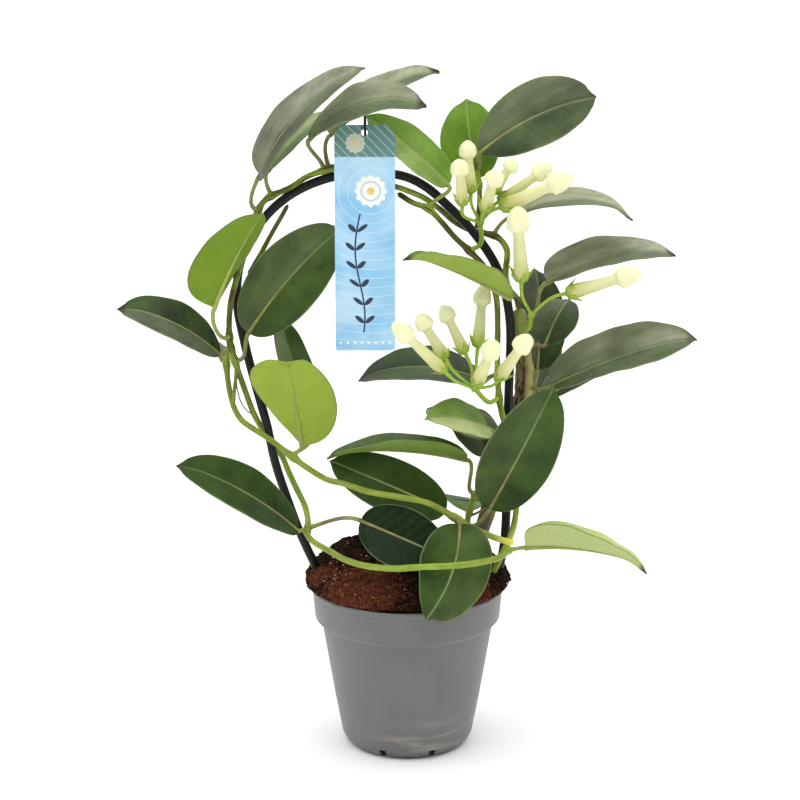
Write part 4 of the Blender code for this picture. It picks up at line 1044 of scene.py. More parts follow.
raised = add(
    leaf, "GeometryNodeExtrudeMesh",
    {0: sheet, "Offset": number["rise"], "Offset Scale": given["Thickness"], "Individual": False})
raised = add(leaf, "GeometryNodeSetMaterial", {0: raised, "Material": given["Upper side"]})
under = add(leaf, "GeometryNodeFlipFaces", [sheet])
under = add(leaf, "GeometryNodeSetMaterial", {0: under, "Material": given["Under side"]})
blade = leaf.nodes.new("GeometryNodeJoinGeometry")
leaf.links.new(under, blade.inputs[0])
leaf.links.new(raised, blade.inputs[0])
blade = add(leaf, "GeometryNodeMergeByDistance", {0: blade.outputs[0], "Distance": SAME_PLACE * MM})
section = add(leaf, "GeometryNodeCurvePrimitiveCircle", {"Resolution": 10, "Radius": 1.0})
girth = add(leaf, "GeometryNodeInputNamedAttribute", ["girth"], data_type="FLOAT")
stalk = add(leaf, "GeometryNodeCurveToMesh", {0: rib, 1: section, "Scale": girth, "Fill Caps": True})
stalk = add(leaf, "GeometryNodeSetMaterial", {0: stalk, "Material": given["Stalk"]})
whole = leaf.nodes.new("GeometryNodeJoinGeometry")
leaf.links.new(stalk, whole.inputs[0])
leaf.links.new(blade, whole.inputs[0])
whole = add(leaf, "GeometryNodeSetShadeSmooth", [whole.outputs[0]])
# The shading value carries each leaf's painted shade and painted sheen into its materials.
for key in ("Youth", "Tone", "Hook"):
    whole = add(leaf, "GeometryNodeStoreNamedAttribute", {0: whole, "Name": key.lower(), "Value": given[key]})
leaf.links.new(whole, result)


def vein_masks(tree, spacing, thin, wide):
    """The place on the blade in mm, and how near it is to a side vein and to the margin, 0 to 1. The third
    number of the place is 1000 at the margin."""
    blade = add(tree, "ShaderNodeAttribute", out="Vector", attribute_name="blade")
    blade = add(tree, "ShaderNodeVectorMath", {0: blade, "Scale": 1 / MM}, operation="SCALE")
    parts = add(tree, "ShaderNodeSeparateXYZ", [blade]).node.outputs
    off = add(tree, "ShaderNodeMath", [parts["X"]], operation="ABSOLUTE")
    slant = add(tree, "ShaderNodeMath", [off, -0.62, parts["Y"]], operation="MULTIPLY_ADD")
    bent = add(tree, "ShaderNodeTexNoise", {"Vector": blade, "Scale": 1 / 14})
    slant = add(tree, "ShaderNodeMath", [bent, 13.0, slant], operation="MULTIPLY_ADD")
    phase = add(tree, "ShaderNodeMath", [slant, spacing], operation="DIVIDE")
    phase = add(tree, "ShaderNodeMath", [phase], operation="FRACT")
    phase = add(tree, "ShaderNodeMath", [phase, 0.5], operation="SUBTRACT")
    phase = add(tree, "ShaderNodeMath", [phase], operation="ABSOLUTE")
    side = add(tree, "ShaderNodeMapRange", [phase, wide / spacing, thin / spacing])
    broken = add(tree, "ShaderNodeTexNoise", {"Vector": blade, "Scale": 1 / 9, "Detail": 1.0})
    broken = add(tree, "ShaderNodeMapRange", [broken, 0.32, 0.6])
    side = add(tree, "ShaderNodeMath", [side, broken], operation="MULTIPLY")
    edge = add(tree, "ShaderNodeMath", [parts["Z"]], operation="ABSOLUTE")
    return blade, side, add(tree, "ShaderNodeMapRange", [edge, 955.0, 985.0])


def leaf_tones(tree, most_shade, most_bloom_and_sheen):
    """A leaf's youth, and how far its colour goes toward a deep one, which is painted shade, and toward a
    pale one, which is waxy bloom and painted sheen.
    """
    youth = add(tree, "ShaderNodeAttribute", out="Fac", attribute_name="youth")
    tone = add(tree, "ShaderNodeAttribute", out="Fac", attribute_name="tone")
    painted_shade = add(tree, "ShaderNodeMapRange", [tone, 0.0, -1.0, 0.0, most_shade])
    return youth, painted_shade, add(tree, "ShaderNodeMapRange", [tone, 0.0, 1.0, 0.0, most_bloom_and_sheen])


def dry_tip(tree, colour, dry):
    """A leaf's colour with its hooked tip dried."""
    share = add(tree, "ShaderNodeAttribute", out="Fac", attribute_name="share")
    hook = add(tree, "ShaderNodeAttribute", out="Fac", attribute_name="hook")
    at_tip = add(tree, "ShaderNodeMapRange", [share, 0.955, 0.99])
    dried = add(tree, "ShaderNodeMapRange", [hook, 0.5, 3.0, 0.0, 0.9])
    dried = add(tree, "ShaderNodeMath", [at_tip, dried], operation="MULTIPLY")
    return add(tree, "ShaderNodeMix", {0: dried, 6: colour, 7: dry}, 2, data_type="RGBA")


# Waxy cuticle, the upper side: deep green, darker still on leaves in shadow, which is painted shade, and
# streaked along by a grey that is waxy bloom and painted sheen, stronger on one half and on what faces up,
# where the light falls; with a thin pale midrib that fades under it, faint side veins, a dry brown tip and a
# few pale specks where it was rubbed.
cuticle, tree, shader, mm = new_material("waxy_leaf_cuticle", 0.4, 1.45)
shader.inputs["Specular IOR Level"].default_value = 0.2
blade, side, edge = vein_masks(tree, 6.5, 0.1, 0.9)
youth, painted_shade, bloom_and_sheen = leaf_tones(tree, 0.95, 0.67)
cloud = add(tree, "ShaderNodeTexNoise", {"Vector": mm, "Scale": 1 / 15})
broad = add(tree, "ShaderNodeTexNoise", {"Vector": mm, "Scale": 1 / 27, "Detail": 1.0})
share = add(tree, "ShaderNodeMath", [cloud, broad], operation="ADD")
share = add(tree, "ShaderNodeMapRange", [share, 0.72, 1.32])
grown_up = add(tree, "ShaderNodeMix", {0: share, 6: "#132209", 7: "#365019"}, 2, data_type="RGBA")
young = add(tree, "ShaderNodeMix", {0: share, 6: "#5f8a25", 7: "#86ab3c"}, 2, data_type="RGBA")
colour = add(tree, "ShaderNodeMix", {0: youth, 6: grown_up, 7: young}, 2, data_type="RGBA")
# Painted shade: a leaf with shading below 0 is darkened toward a deep green.
colour = add(tree, "ShaderNodeMix", {0: painted_shade, 6: colour, 7: "#0a2203"}, 2, data_type="RGBA")

drawn = add(tree, "ShaderNodeVectorMath", {0: mm, "Scale": 0.2}, operation="SCALE")
drawn = add(tree, "ShaderNodeVectorMath", [blade, (1.0, 0.25, 0.0), drawn], operation="MULTIPLY_ADD")
streak = add(tree, "ShaderNodeTexNoise", {"Vector": drawn, "Scale": 1 / 7, "Detail": 4.0, "Roughness": 0.6})
facing = add(tree, "ShaderNodeSeparateXYZ", [add(tree, "ShaderNodeNewGeometry", out="Normal")], "Z")
parts = add(tree, "ShaderNodeSeparateXYZ", [blade]).node.outputs
# Painted sheen: the leaf's grey is made thicker where the blade faces up and on one half, as the light falls,
# and is streaked.
bloom_and_sheen_share = bloom_and_sheen
for factor in (
        [broad, 0.38, 0.62, 0.75, 1.15], [facing, 0.35, 0.95, 0.55, 1.35], [parts["X"], -2.0, 2.0, 1.6, 0.4],
        [streak, 0.25, 0.75, 0.45, 1.2]):
    factor = add(tree, "ShaderNodeMapRange", factor)
    bloom_and_sheen_share = add(tree, "ShaderNodeMath", [bloom_and_sheen_share, factor], operation="MULTIPLY")
bloom_and_sheen_grey = add(tree, "ShaderNodeMix", {0: youth, 6: "#9d9f88", 7: "#c0cb84"}, 2, data_type="RGBA")
colour = add(tree, "ShaderNodeMix", {0: bloom_and_sheen_share, 6: colour, 7: bloom_and_sheen_grey}, 2, data_type="RGBA")

faint = add(tree, "ShaderNodeMath", [side, 0.12], operation="MULTIPLY")
colour = add(tree, "ShaderNodeMix", {0: faint, 6: colour, 7: "#6f8a50"}, 2, data_type="RGBA")
off = add(tree, "ShaderNodeMath", [parts["X"]], operation="ABSOLUTE")
midrib = add(tree, "ShaderNodeMapRange", [off, 0.8, 0.25])
for fading in ([parts["Y"], 20.0, 80.0, 1.0, 0.3], [bloom_and_sheen, 0.1, 0.5, 0.7, 0.3]):
    fading = add(tree, "ShaderNodeMapRange", fading)
    midrib = add(tree, "ShaderNodeMath", [midrib, fading], operation="MULTIPLY")
line = add(tree, "ShaderNodeMath", [edge, 0.35, midrib], operation="MULTIPLY_ADD")
colour = add(tree, "ShaderNodeMix", {0: line, 6: colour, 7: "#a9b982"}, 2, data_type="RGBA")
speck = add(tree, "ShaderNodeTexVoronoi", {"Vector": mm, "Scale": 1 / 5.5})
speck = add(tree, "ShaderNodeMapRange", [speck, 0.06, 0.03, 0.0, 0.5])
colour = add(tree, "ShaderNodeMix", {0: speck, 6: colour, 7: "#a9b59a"}, 2, data_type="RGBA")
colour = dry_tip(tree, colour, "#35342a")
height = add(tree, "ShaderNodeTexNoise", {"Vector": mm, "Scale": 1 / 1.3})
height = add(tree, "ShaderNodeMath", [side, -0.4, height], operation="MULTIPLY_ADD")
height = add(tree, "ShaderNodeMath", [streak, 2.5, height], operation="MULTIPLY_ADD")
rough = add(tree, "ShaderNodeMapRange", [cloud, 0.3, 0.7, 0.26, 0.42])
painted(tree, shader, colour, height, 0.45, 0.5, rough)

# The under side: light and matt, with a fine net of veins and a thin grey margin.
under_skin, tree, shader, mm = new_material("netted_leaf_underside", 0.6, 1.4)
shader.inputs["Specular IOR Level"].default_value = 0.3
blade, side, edge = vein_masks(tree, 5.0, 0.1, 0.5)
youth, painted_shade, bloom_and_sheen = leaf_tones(tree, 0.6, 0.7)
cloud = add(tree, "ShaderNodeTexNoise", {"Vector": mm, "Scale": 1 / 14, "Detail": 3.0})
grown_up = add(tree, "ShaderNodeMix", {0: cloud, 6: "#62803c", 7: "#8ba65c"}, 2, data_type="RGBA")
young = add(tree, "ShaderNodeMix", {0: cloud, 6: "#86a126", 7: "#abc03a"}, 2, data_type="RGBA")
colour = add(tree, "ShaderNodeMix", {0: youth, 6: grown_up, 7: young}, 2, data_type="RGBA")
net = add(tree, "ShaderNodeTexVoronoi", {"Vector": blade, "Scale": 1 / 1.7}, feature="DISTANCE_TO_EDGE")
net = add(tree, "ShaderNodeMapRange", [net, 0.12, 0.0, 0.0, 0.3])
side = add(tree, "ShaderNodeMath", [side, 0.6], operation="MULTIPLY")
lines = add(tree, "ShaderNodeMath", [net, side], operation="MAXIMUM")
edge = add(tree, "ShaderNodeMath", [edge, 0.6], operation="MULTIPLY")
# The leaf's painted shade darkens this side, and its bloom and painted sheen pale it.
for share, tint in ((painted_shade, "#567a1c"), (bloom_and_sheen, "#cdd69a"), (lines, "#55791e"), (edge, "#66704c")):
    colour = add(tree, "ShaderNodeMix", {0: share, 6: colour, 7: tint}, 2, data_type="RGBA")
colour = dry_tip(tree, colour, "#3a382c")
painted(tree, shader, colour, lines, 0.4, 0.3)

# Stalk and midrib: yellow green, smooth and a little glossy, tanned and browned in places.
stalk_skin, tree, shader, mm = new_material("leaf_stalk_skin", 0.45, 1.42)
youth = add(tree, "ShaderNodeAttribute", out="Fac", attribute_name="youth")
cloud = add(tree, "ShaderNodeTexNoise", {"Vector": mm, "Scale": 1 / 12, "Detail": 3.0, "Roughness": 0.6})
share = add(tree, "ShaderNodeMapRange", [cloud, 0.38, 0.6])
colour = add(tree, "ShaderNodeMix", {0: share, 6: "#929c4f", 7: "#80724a"}, 2, data_type="RGBA")
young = add(tree, "ShaderNodeMath", [youth, 0.5], operation="MULTIPLY")
colour = add(tree, "ShaderNodeMix", {0: young, 6: colour, 7: "#a5b653"}, 2, data_type="RGBA")
grain = add(tree, "ShaderNodeTexNoise", {"Vector": mm, "Scale": 1 / 3})
painted(tree, shader, colour, grain, 0.2, 0.3)

for number_of, name in enumerate(LEAVES):
    youth, tone, hook, wave = LEAF_LOOKS.get(name, PLAIN_LOOK)
    made = grown(
        name + "_blade", leaf_line(name), leaf, Columns=BLADE_COLUMNS, Wave=wave * MM,
        Seed=float(number_of), Thickness=BLADE * MM, Groove=-GROOVE * MM, Youth=youth, Tone=tone,
        Hook=float(hook), Upper_side=cuticle, Under_side=under_skin, Stalk=stalk_skin)
    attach(made, "root")
    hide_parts(name)


# The flower buds. Waxy cream trumpets still closed, in three sprays: each stands on a green stalk in a
# star of five pointed sepals, with a slim ribbed tube and a head like an acorn where the lobes are furled.

BUD_SIDES = 20
BUD_STATIONS = 44
BUD_RIB = 0.07
BUD_TWIST = 1.1
SEPALS = 5

# Bud wax: a cream head on a duller tube that is faintly green and pink at its foot; soft and slightly
# see-through.
wax, tree, shader, mm = new_material("waxy_bud_skin", 0.42, 1.42)
shader.inputs["Subsurface Weight"].default_value = 0.2
shader.inputs["Subsurface Radius"].default_value = (1.0, 0.9, 0.4)
shader.inputs["Subsurface Scale"].default_value = 2.0 * MM
rise = add(tree, "ShaderNodeAttribute", out="Fac", attribute_name="up_bud")
cloud = add(tree, "ShaderNodeTexNoise", {"Vector": mm, "Scale": 1 / 5})
share = add(tree, "ShaderNodeMapRange", [cloud, 0.4, 0.6])
colour = add(tree, "ShaderNodeMix", {0: share, 6: "#b9c95a", 7: "#d0c688"}, 2, data_type="RGBA")
for low, high, tint in ((0.06, 0.36, "#dfdfa6"), (0.55, 0.76, "#f1efc2")):
    share = add(tree, "ShaderNodeMapRange", [rise, low, high])
    colour = add(tree, "ShaderNodeMix", {0: share, 6: colour, 7: tint}, 2, data_type="RGBA")
painted(tree, shader, colour, cloud, 0.2, 0.4)

# Sepals and bud stalks: fresh yellow green.
sepal_skin, tree, shader, mm = new_material("fresh_sepal_skin", 0.45, 1.42)
cloud = add(tree, "ShaderNodeTexNoise", {"Vector": mm, "Scale": 1 / 5, "Detail": 3.0})
colour = add(tree, "ShaderNodeMix", {0: cloud, 6: "#7fa32b", 7: "#b3cc50"}, 2, data_type="RGBA")
painted(tree, shader, colour, cloud, 0.25, 0.3)

# Half the bud's width, in head radii, by share of its length. The tree makes one bud and one calyx of that
# size and puts them on each foot, turned to the bud's axis.
BUD_PROFILE = (
    (0.0, 0.45), (0.03, 0.66), (0.1, 0.7), (0.25, 0.63), (0.45, 0.56), (0.6, 0.51), (0.66, 0.6), (0.7, 0.93),
    (0.735, 1.02), (0.8, 0.99), (0.88, 0.84), (0.945, 0.56), (0.98, 0.3), (1.0, 0.06))
bud, given, result = new_tree("closed buds", Sides="Int", Sepals="Int", Wax="Material", Green="Material")
stick = add(bud, "GeometryNodeCurvePrimitiveLine", [(0.0, 0.0, 0.0), (0.0, 0.0, 1.0)])
stick = add(bud, "GeometryNodeResampleCurve", {0: stick, "Count": BUD_STATIONS})
share = add(bud, "GeometryNodeSplineParameter", out="Factor")
stick = add(bud, "GeometryNodeStoreNamedAttribute", {0: stick, "Name": "up_bud", "Value": share})
width = add(bud, "ShaderNodeFloatCurve", {"Value": share})
shape = width.node.mapping.curves[0]
shape.points[0].location = BUD_PROFILE[0]
shape.points[1].location = BUD_PROFILE[-1]
for place in BUD_PROFILE[1:-1]:
    shape.points.new(*place)
width.node.mapping.update()
circle = add(bud, "GeometryNodeCurvePrimitiveCircle", {"Resolution": given["Sides"], "Radius": 1.0})
body = add(bud, "GeometryNodeCurveToMesh", {0: stick, 1: circle, "Scale": width, "Fill Caps": True})
spot = add(bud, "GeometryNodeInputPosition")
parts = add(bud, "ShaderNodeSeparateXYZ", [spot]).node.outputs
angle = add(bud, "ShaderNodeMath", [parts["Y"], parts["X"]], operation="ARCTAN2")
twist = add(bud, "ShaderNodeMath", [parts["Z"], BUD_TWIST, angle], operation="MULTIPLY_ADD")
rib = add(bud, "ShaderNodeMath", [twist, float(SEPALS)], operation="MULTIPLY")
rib = add(bud, "ShaderNodeMath", [rib], operation="COSINE")
rib = add(bud, "ShaderNodeMath", [rib, BUD_RIB, 1.0], operation="MULTIPLY_ADD")
ribbed = add(bud, "ShaderNodeCombineXYZ", {"X": rib, "Y": rib, "Z": 1.0})
spot = add(bud, "ShaderNodeVectorMath", [spot, ribbed], operation="MULTIPLY")
body = add(bud, "GeometryNodeSetPosition", {0: body, "Position": spot})
body = add(bud, "GeometryNodeSetMaterial", {0: body, "Material": given["Wax"]})
axis = add(bud, "GeometryNodeInputNamedAttribute", ["axis"], data_type="FLOAT_VECTOR")
size = add(bud, "GeometryNodeInputNamedAttribute", ["size"], data_type="FLOAT_VECTOR")
upright = add(bud, "FunctionNodeAlignRotationToVector", {"Vector": axis}, axis="Z")
bodies = add(
    bud, "GeometryNodeInstanceOnPoints",
    {"Points": given["Geometry"], "Instance": body, "Rotation": upright, "Scale": size})
sepal = add(
    bud, "GeometryNodeMeshCone",
    {"Vertices": 8, "Side Segments": 4, "Radius Top": 0.02, "Radius Bottom": 0.46, "Depth": 1.5})
sepal = add(bud, "GeometryNodeTransform", {0: sepal, "Scale": (0.32, 1.0, 1.0)})
star = add(bud, "GeometryNodeMeshCircle", {"Vertices": given["Sepals"], "Radius": 0.42})
around = add(bud, "GeometryNodeInputPosition")
opened = add(bud, "FunctionNodeAlignRotationToVector", {"Vector": around}, axis="X")
lean = add(bud, "FunctionNodeEulerToRotation", [(0.0, 0.62, 0.0)])
opened = add(bud, "FunctionNodeRotateRotation", [opened, lean], rotation_space="LOCAL")
star = add(bud, "GeometryNodeInstanceOnPoints", {"Points": star, "Instance": sepal, "Rotation": opened})
star = add(bud, "GeometryNodeRealizeInstances", [star])
cup = add(
    bud, "GeometryNodeMeshCone",
    {"Vertices": 16, "Side Segments": 3, "Radius Top": 0.62, "Radius Bottom": 0.25, "Depth": 0.5})
cup = add(bud, "GeometryNodeTransform", {0: cup, "Translation": (0.0, 0.0, -0.25)})
calyx = bud.nodes.new("GeometryNodeJoinGeometry")
bud.links.new(star, calyx.inputs[0])
bud.links.new(cup, calyx.inputs[0])
calyx = add(bud, "GeometryNodeSetMaterial", {0: calyx.outputs[0], "Material": given["Green"]})
head = add(bud, "ShaderNodeSeparateXYZ", [size], "X")
calyxes = add(
    bud, "GeometryNodeInstanceOnPoints",
    {"Points": given["Geometry"], "Instance": calyx, "Rotation": upright, "Scale": head})
both = bud.nodes.new("GeometryNodeJoinGeometry")
bud.links.new(bodies, both.inputs[0])
bud.links.new(calyxes, both.inputs[0])
both = add(bud, "GeometryNodeRealizeInstances", [both.outputs[0]])
bud.links.new(add(bud, "GeometryNodeSetShadeSmooth", [both]), result)

for name, (stem, place, hub, buds) in SPRAYS.items():
    hub = Vector(hub)
    foot, out = seat_on(stem, place, hub)
    reach = (hub - foot).length
    lines = [smooth_line([foot, foot + out * (0.4 * reach), hub], 1.5)]
    girths = [1.5 * MM] * len(lines[0])
    lines.append(smooth_line([hub - 2.2 * out, hub, hub + 2.2 * out], 0.6))
    knob = len(lines[1]) - 1
    girths += [(1.2 + 1.0 * math.sin(math.pi * k / knob)) * MM for k in range(knob + 1)]
    feet = []
    axes = []
    sizes = []
    for calyx, head, radius in buds:
        start = Vector(calyx)
        up = (Vector(head) - start).normalized()
        span = (start - hub).length
        stalk = smooth_line([hub, start - up * (0.4 * span), start + up], 1.5)
        lines.append(stalk)
        girths += [(0.95 + 0.5 * (k / (len(stalk) - 1))**4) * MM for k in range(len(stalk))]
        length = (Vector(head) - start).length + 1.1 * radius
        feet.append(start)
        axes.append(up)
        sizes.append(Vector((radius * MM, radius * MM, length * MM)))
    stalks = grown(
        name + "_stalks", line_mesh(name, lines, girth=girths), bar, Sides=10, Relief=0.2 * MM, Grain=600.0,
        Drawn_out=6.0, Skin=sepal_skin)
    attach(stalks, "root")
    flowers = grown(
        name + "_flowers", line_mesh(name, [[p] for p in feet], axis=axes, size=sizes), bud, Sides=BUD_SIDES,
        Sepals=SEPALS, Wax=wax, Green=sepal_skin)
    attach(flowers, "root")
    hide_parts(name)


# The hang tag. Coated card, printed in sky blue with a grey teal head, punched and hung before the hoop.
# Its print is a plain pattern: a wavy sprig of paired leaves, scalloped rounds, fine rings and a row of dots.

TAG_LEFT = -43.0
TAG_RIGHT = -7.5
TAG_MIDDLE = 0.5 * (TAG_LEFT + TAG_RIGHT)
TAG_FRONT = -16.0
TAG_FOOT = 254.0
TAG_BEND = 370.0
TAG_TOP = 388.5
TAG_LEAN = 3.0
TAG_CUT = 5.0
TAG_CORNER = 1.6
TAG_COLUMNS = 12
BEND_ROWS = 14
TAG_CARD = 0.6
TAG_HOLE_RADIUS = 2.0
TAG_HOLE_UP = 384.0


def tag_depth(height):
    """How far the card leans back at a height."""
    return TAG_FRONT + TAG_LEAN * max(0.0, (height - TAG_BEND) / (TAG_TOP - TAG_BEND)) ** 1.3


# The print, in mm on the card: each scalloped round's place, radius and ink, and the steps of the pattern.
MEDALLIONS = ((3.5, 96.0, 9.0, "#f6f6ec"), (-5.5, 124.0, 5.6, "#d3d3bb"))
SCALLOPS = 12.0
RING_STEP = 5.5
SPRIG_STEP = 11.0
SPRIG_FOOT = 11.0
SPRIG_TOP = 82.5
DOT_STEP = 4.2
DOTS_UP = 4.8


def from_spot(tree, across, up, x, z):
    """How far a point of the print is from a spot on the card, in mm."""
    aside = add(tree, "ShaderNodeMath", [across, x], operation="SUBTRACT")
    above = add(tree, "ShaderNodeMath", [up, z], operation="SUBTRACT")
    square = add(tree, "ShaderNodeMath", [above, above], operation="MULTIPLY")
    square = add(tree, "ShaderNodeMath", [aside, aside, square], operation="MULTIPLY_ADD")
    return add(tree, "ShaderNodeMath", [square], operation="SQRT")


def inked(tree, far, edge):
    """Ink inside an edge, 0 to 1, with a crisp margin."""
    past = add(tree, "ShaderNodeMath", [far, edge], operation="SUBTRACT")
    return add(tree, "ShaderNodeMapRange", [past, 0.1, -0.1])


def in_steps(tree, value, step):
    """How far a place is from the middle of the step that it falls in."""
    share = add(tree, "ShaderNodeMath", [value, step], operation="DIVIDE")
    share = add(tree, "ShaderNodeMath", [share], operation="FRACT")
    share = add(tree, "ShaderNodeMath", [share, 0.5], operation="SUBTRACT")
    return add(tree, "ShaderNodeMath", [share, step], operation="MULTIPLY")


# Coated card: a clean sheet with a soft gloss; flat inks on a ground that is gently clouded in two blues.
card, tree, shader, mm = new_material("coated_card", 0.35, 1.5)
parts = add(tree, "ShaderNodeSeparateXYZ", [mm]).node.outputs
across = add(tree, "ShaderNodeMath", [parts["X"], TAG_MIDDLE], operation="SUBTRACT")
up = add(tree, "ShaderNodeMath", [parts["Z"], TAG_FOOT], operation="SUBTRACT")
cloud = add(tree, "ShaderNodeTexNoise", {"Vector": mm, "Scale": 1 / 24})
cloud = add(tree, "ShaderNodeMapRange", [cloud, 0.36, 0.64])
colour = add(tree, "ShaderNodeMix", {0: cloud, 6: "#8cc7ed", 7: "#b8def5"}, 2, data_type="RGBA")

# Fine rings run round the larger scalloped round.
far = from_spot(tree, across, up, *MEDALLIONS[0][:2])
rings = add(tree, "ShaderNodeMath", [in_steps(tree, far, RING_STEP)], operation="ABSOLUTE")
rings = add(tree, "ShaderNodeMath", [inked(tree, rings, 0.3), 0.4], operation="MULTIPLY")
colour = add(tree, "ShaderNodeMix", {0: rings, 6: colour, 7: "#e6f4fb"}, 2, data_type="RGBA")

# The sprig has a wavy stalk and ovals that slant up from it in pairs, turned by 40 degrees.
bend = add(tree, "ShaderNodeMath", [up, 13.0], operation="DIVIDE")
bend = add(tree, "ShaderNodeMath", [bend], operation="SINE")
bend = add(tree, "ShaderNodeMath", [bend, 2.8, -3.0], operation="MULTIPLY_ADD")
beside = add(tree, "ShaderNodeMath", [across, bend], operation="SUBTRACT")
beside = add(tree, "ShaderNodeMath", [beside], operation="ABSOLUTE")
step = in_steps(tree, up, SPRIG_STEP)
outward = add(tree, "ShaderNodeMath", [step, 0.643, -4.0], operation="MULTIPLY_ADD")
outward = add(tree, "ShaderNodeMath", [beside, 0.766, outward], operation="MULTIPLY_ADD")
outward = add(tree, "ShaderNodeMath", [outward, 3.4], operation="DIVIDE")
aslant = add(tree, "ShaderNodeMath", [beside, -0.643], operation="MULTIPLY")
aslant = add(tree, "ShaderNodeMath", [step, 0.766, aslant], operation="MULTIPLY_ADD")
aslant = add(tree, "ShaderNodeMath", [aslant, 1.3], operation="DIVIDE")
far = from_spot(tree, outward, aslant, 0.0, 0.0)
sprig = add(tree, "ShaderNodeMath", [inked(tree, beside, 0.5), inked(tree, far, 1.0)], operation="MAXIMUM")
above = add(tree, "ShaderNodeMapRange", [up, SPRIG_FOOT - 0.1, SPRIG_FOOT + 0.1])
below = add(tree, "ShaderNodeMapRange", [up, SPRIG_TOP + 0.1, SPRIG_TOP - 0.1])
within = add(tree, "ShaderNodeMath", [above, below], operation="MULTIPLY")
sprig = add(tree, "ShaderNodeMath", [sprig, within], operation="MULTIPLY")
colour = add(tree, "ShaderNodeMix", {0: sprig, 6: colour, 7: "#16284c"}, 2, data_type="RGBA")

# Dots in a row at the foot, a striped head, and the scalloped rounds on top of all.
far = from_spot(tree, in_steps(tree, across, DOT_STEP), up, 0.0, DOTS_UP)
dots = inked(tree, far, 0.75)
colour = add(tree, "ShaderNodeMix", {0: dots, 6: colour, 7: "#eef8fc"}, 2, data_type="RGBA")
in_head = add(tree, "ShaderNodeMapRange", [up, TAG_BEND - TAG_FOOT, TAG_BEND - TAG_FOOT + 0.3])
stripe = add(tree, "ShaderNodeMath", [across, up], operation="ADD")
stripe = add(tree, "ShaderNodeMath", [in_steps(tree, stripe, RING_STEP)], operation="ABSOLUTE")
stripe = inked(tree, stripe, 0.5)
head = add(tree, "ShaderNodeMix", {0: stripe, 6: "#678e90", 7: "#a3bfb2"}, 2, data_type="RGBA")
colour = add(tree, "ShaderNodeMix", {0: in_head, 6: colour, 7: head}, 2, data_type="RGBA")
for x, z, radius, ground in MEDALLIONS:
    far = from_spot(tree, across, up, x, z)
    aside = add(tree, "ShaderNodeMath", [across, x], operation="SUBTRACT")
    above = add(tree, "ShaderNodeMath", [up, z], operation="SUBTRACT")
    lobes = add(tree, "ShaderNodeMath", [above, aside], operation="ARCTAN2")
    lobes = add(tree, "ShaderNodeMath", [lobes, SCALLOPS], operation="MULTIPLY")
    lobes = add(tree, "ShaderNodeMath", [lobes], operation="COSINE")
    rim = add(tree, "ShaderNodeMath", [lobes, 0.07 * radius, radius], operation="MULTIPLY_ADD")
    ring = add(tree, "ShaderNodeMath", [far, 0.62 * radius], operation="SUBTRACT")
    ring = add(tree, "ShaderNodeMath", [ring], operation="ABSOLUTE")
    for place, edge, ink in (
            (far, rim, ground), (ring, 0.04 * radius, "#9cc9e4"), (far, 0.25 * radius, "#e4cf7a")):
        share = inked(tree, place, edge)
        colour = add(tree, "ShaderNodeMix", {0: share, 6: colour, 7: ink}, 2, data_type="RGBA")
grain = add(tree, "ShaderNodeTexNoise", {"Vector": mm, "Scale": 1 / 2, "Detail": 3.0})
painted(tree, shader, colour, grain, 0.12, 0.2)

# The card's own sheet: rows of points across it, narrower where its corners are cut or rounded.
heights = [TAG_FOOT + d for d in (0.0, 0.3, 0.8, TAG_CORNER)] + [TAG_FOOT + 6.1 * k for k in range(1, 19)]
heights += [TAG_BEND + (TAG_TOP - TAG_BEND) * k / BEND_ROWS for k in range(BEND_ROWS + 1)]
points = []
for z in heights:
    near_foot = max(0.0, 1 - (z - TAG_FOOT) / TAG_CORNER)
    near_top = max(0.0, z - (TAG_TOP - TAG_CUT))
    narrow = TAG_CORNER * (1 - math.sqrt(1 - near_foot**2)) + near_top
    left = TAG_LEFT + narrow
    right = TAG_RIGHT - narrow
    for j in range(TAG_COLUMNS + 1):
        points.append((left + (right - left) * j / TAG_COLUMNS, tag_depth(z), z))
faces = []
for i in range(len(heights) - 1):
    for j in range(TAG_COLUMNS):
        a = (TAG_COLUMNS + 1) * i + j
        b = a + TAG_COLUMNS + 1
        faces.append((a, a + 1, b + 1, b))
tag_sheet, given, result = new_tree(
    "punched card", Thickness="Float", Hole_middle="Vector", Hole_radius="Float", Card="Material")
back = add(tag_sheet, "ShaderNodeCombineXYZ", {"Y": given["Thickness"]})
raised = add(
    tag_sheet, "GeometryNodeExtrudeMesh",
    {0: given["Geometry"], "Offset": back, "Offset Scale": 1.0, "Individual": False})
raised = add(tag_sheet, "GeometryNodeFlipFaces", [raised])
both = tag_sheet.nodes.new("GeometryNodeJoinGeometry")
tag_sheet.links.new(raised, both.inputs[0])
tag_sheet.links.new(given["Geometry"], both.inputs[0])
closed = add(tag_sheet, "GeometryNodeMergeByDistance", {0: both.outputs[0], "Distance": SAME_PLACE * MM})
punch = add(
    tag_sheet, "GeometryNodeMeshCylinder",
    {"Vertices": 28, "Radius": given["Hole radius"], "Depth": 12 * MM})
punch = add(
    tag_sheet, "GeometryNodeTransform",
    {0: punch, "Translation": given["Hole middle"], "Rotation": (math.pi / 2, 0.0, 0.0)})
closed = add(tag_sheet, "GeometryNodeMeshBoolean", [closed, punch], operation="DIFFERENCE")
tag_sheet.links.new(add(tag_sheet, "GeometryNodeSetMaterial", {0: closed, "Material": given["Card"]}), result)
tag = grown(
    "tag_card", new_mesh("tag_card", points, faces), tag_sheet, Thickness=TAG_CARD * MM,
    Hole_middle=(TAG_MIDDLE * MM, tag_depth(TAG_HOLE_UP) * MM, TAG_HOLE_UP * MM),
    Hole_radius=TAG_HOLE_RADIUS * MM, Card=card)
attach(tag, "root")
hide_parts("tag")


# The tag's clip. Black nylon wire: it hooks round the hoop and comes forward through the punched hole.

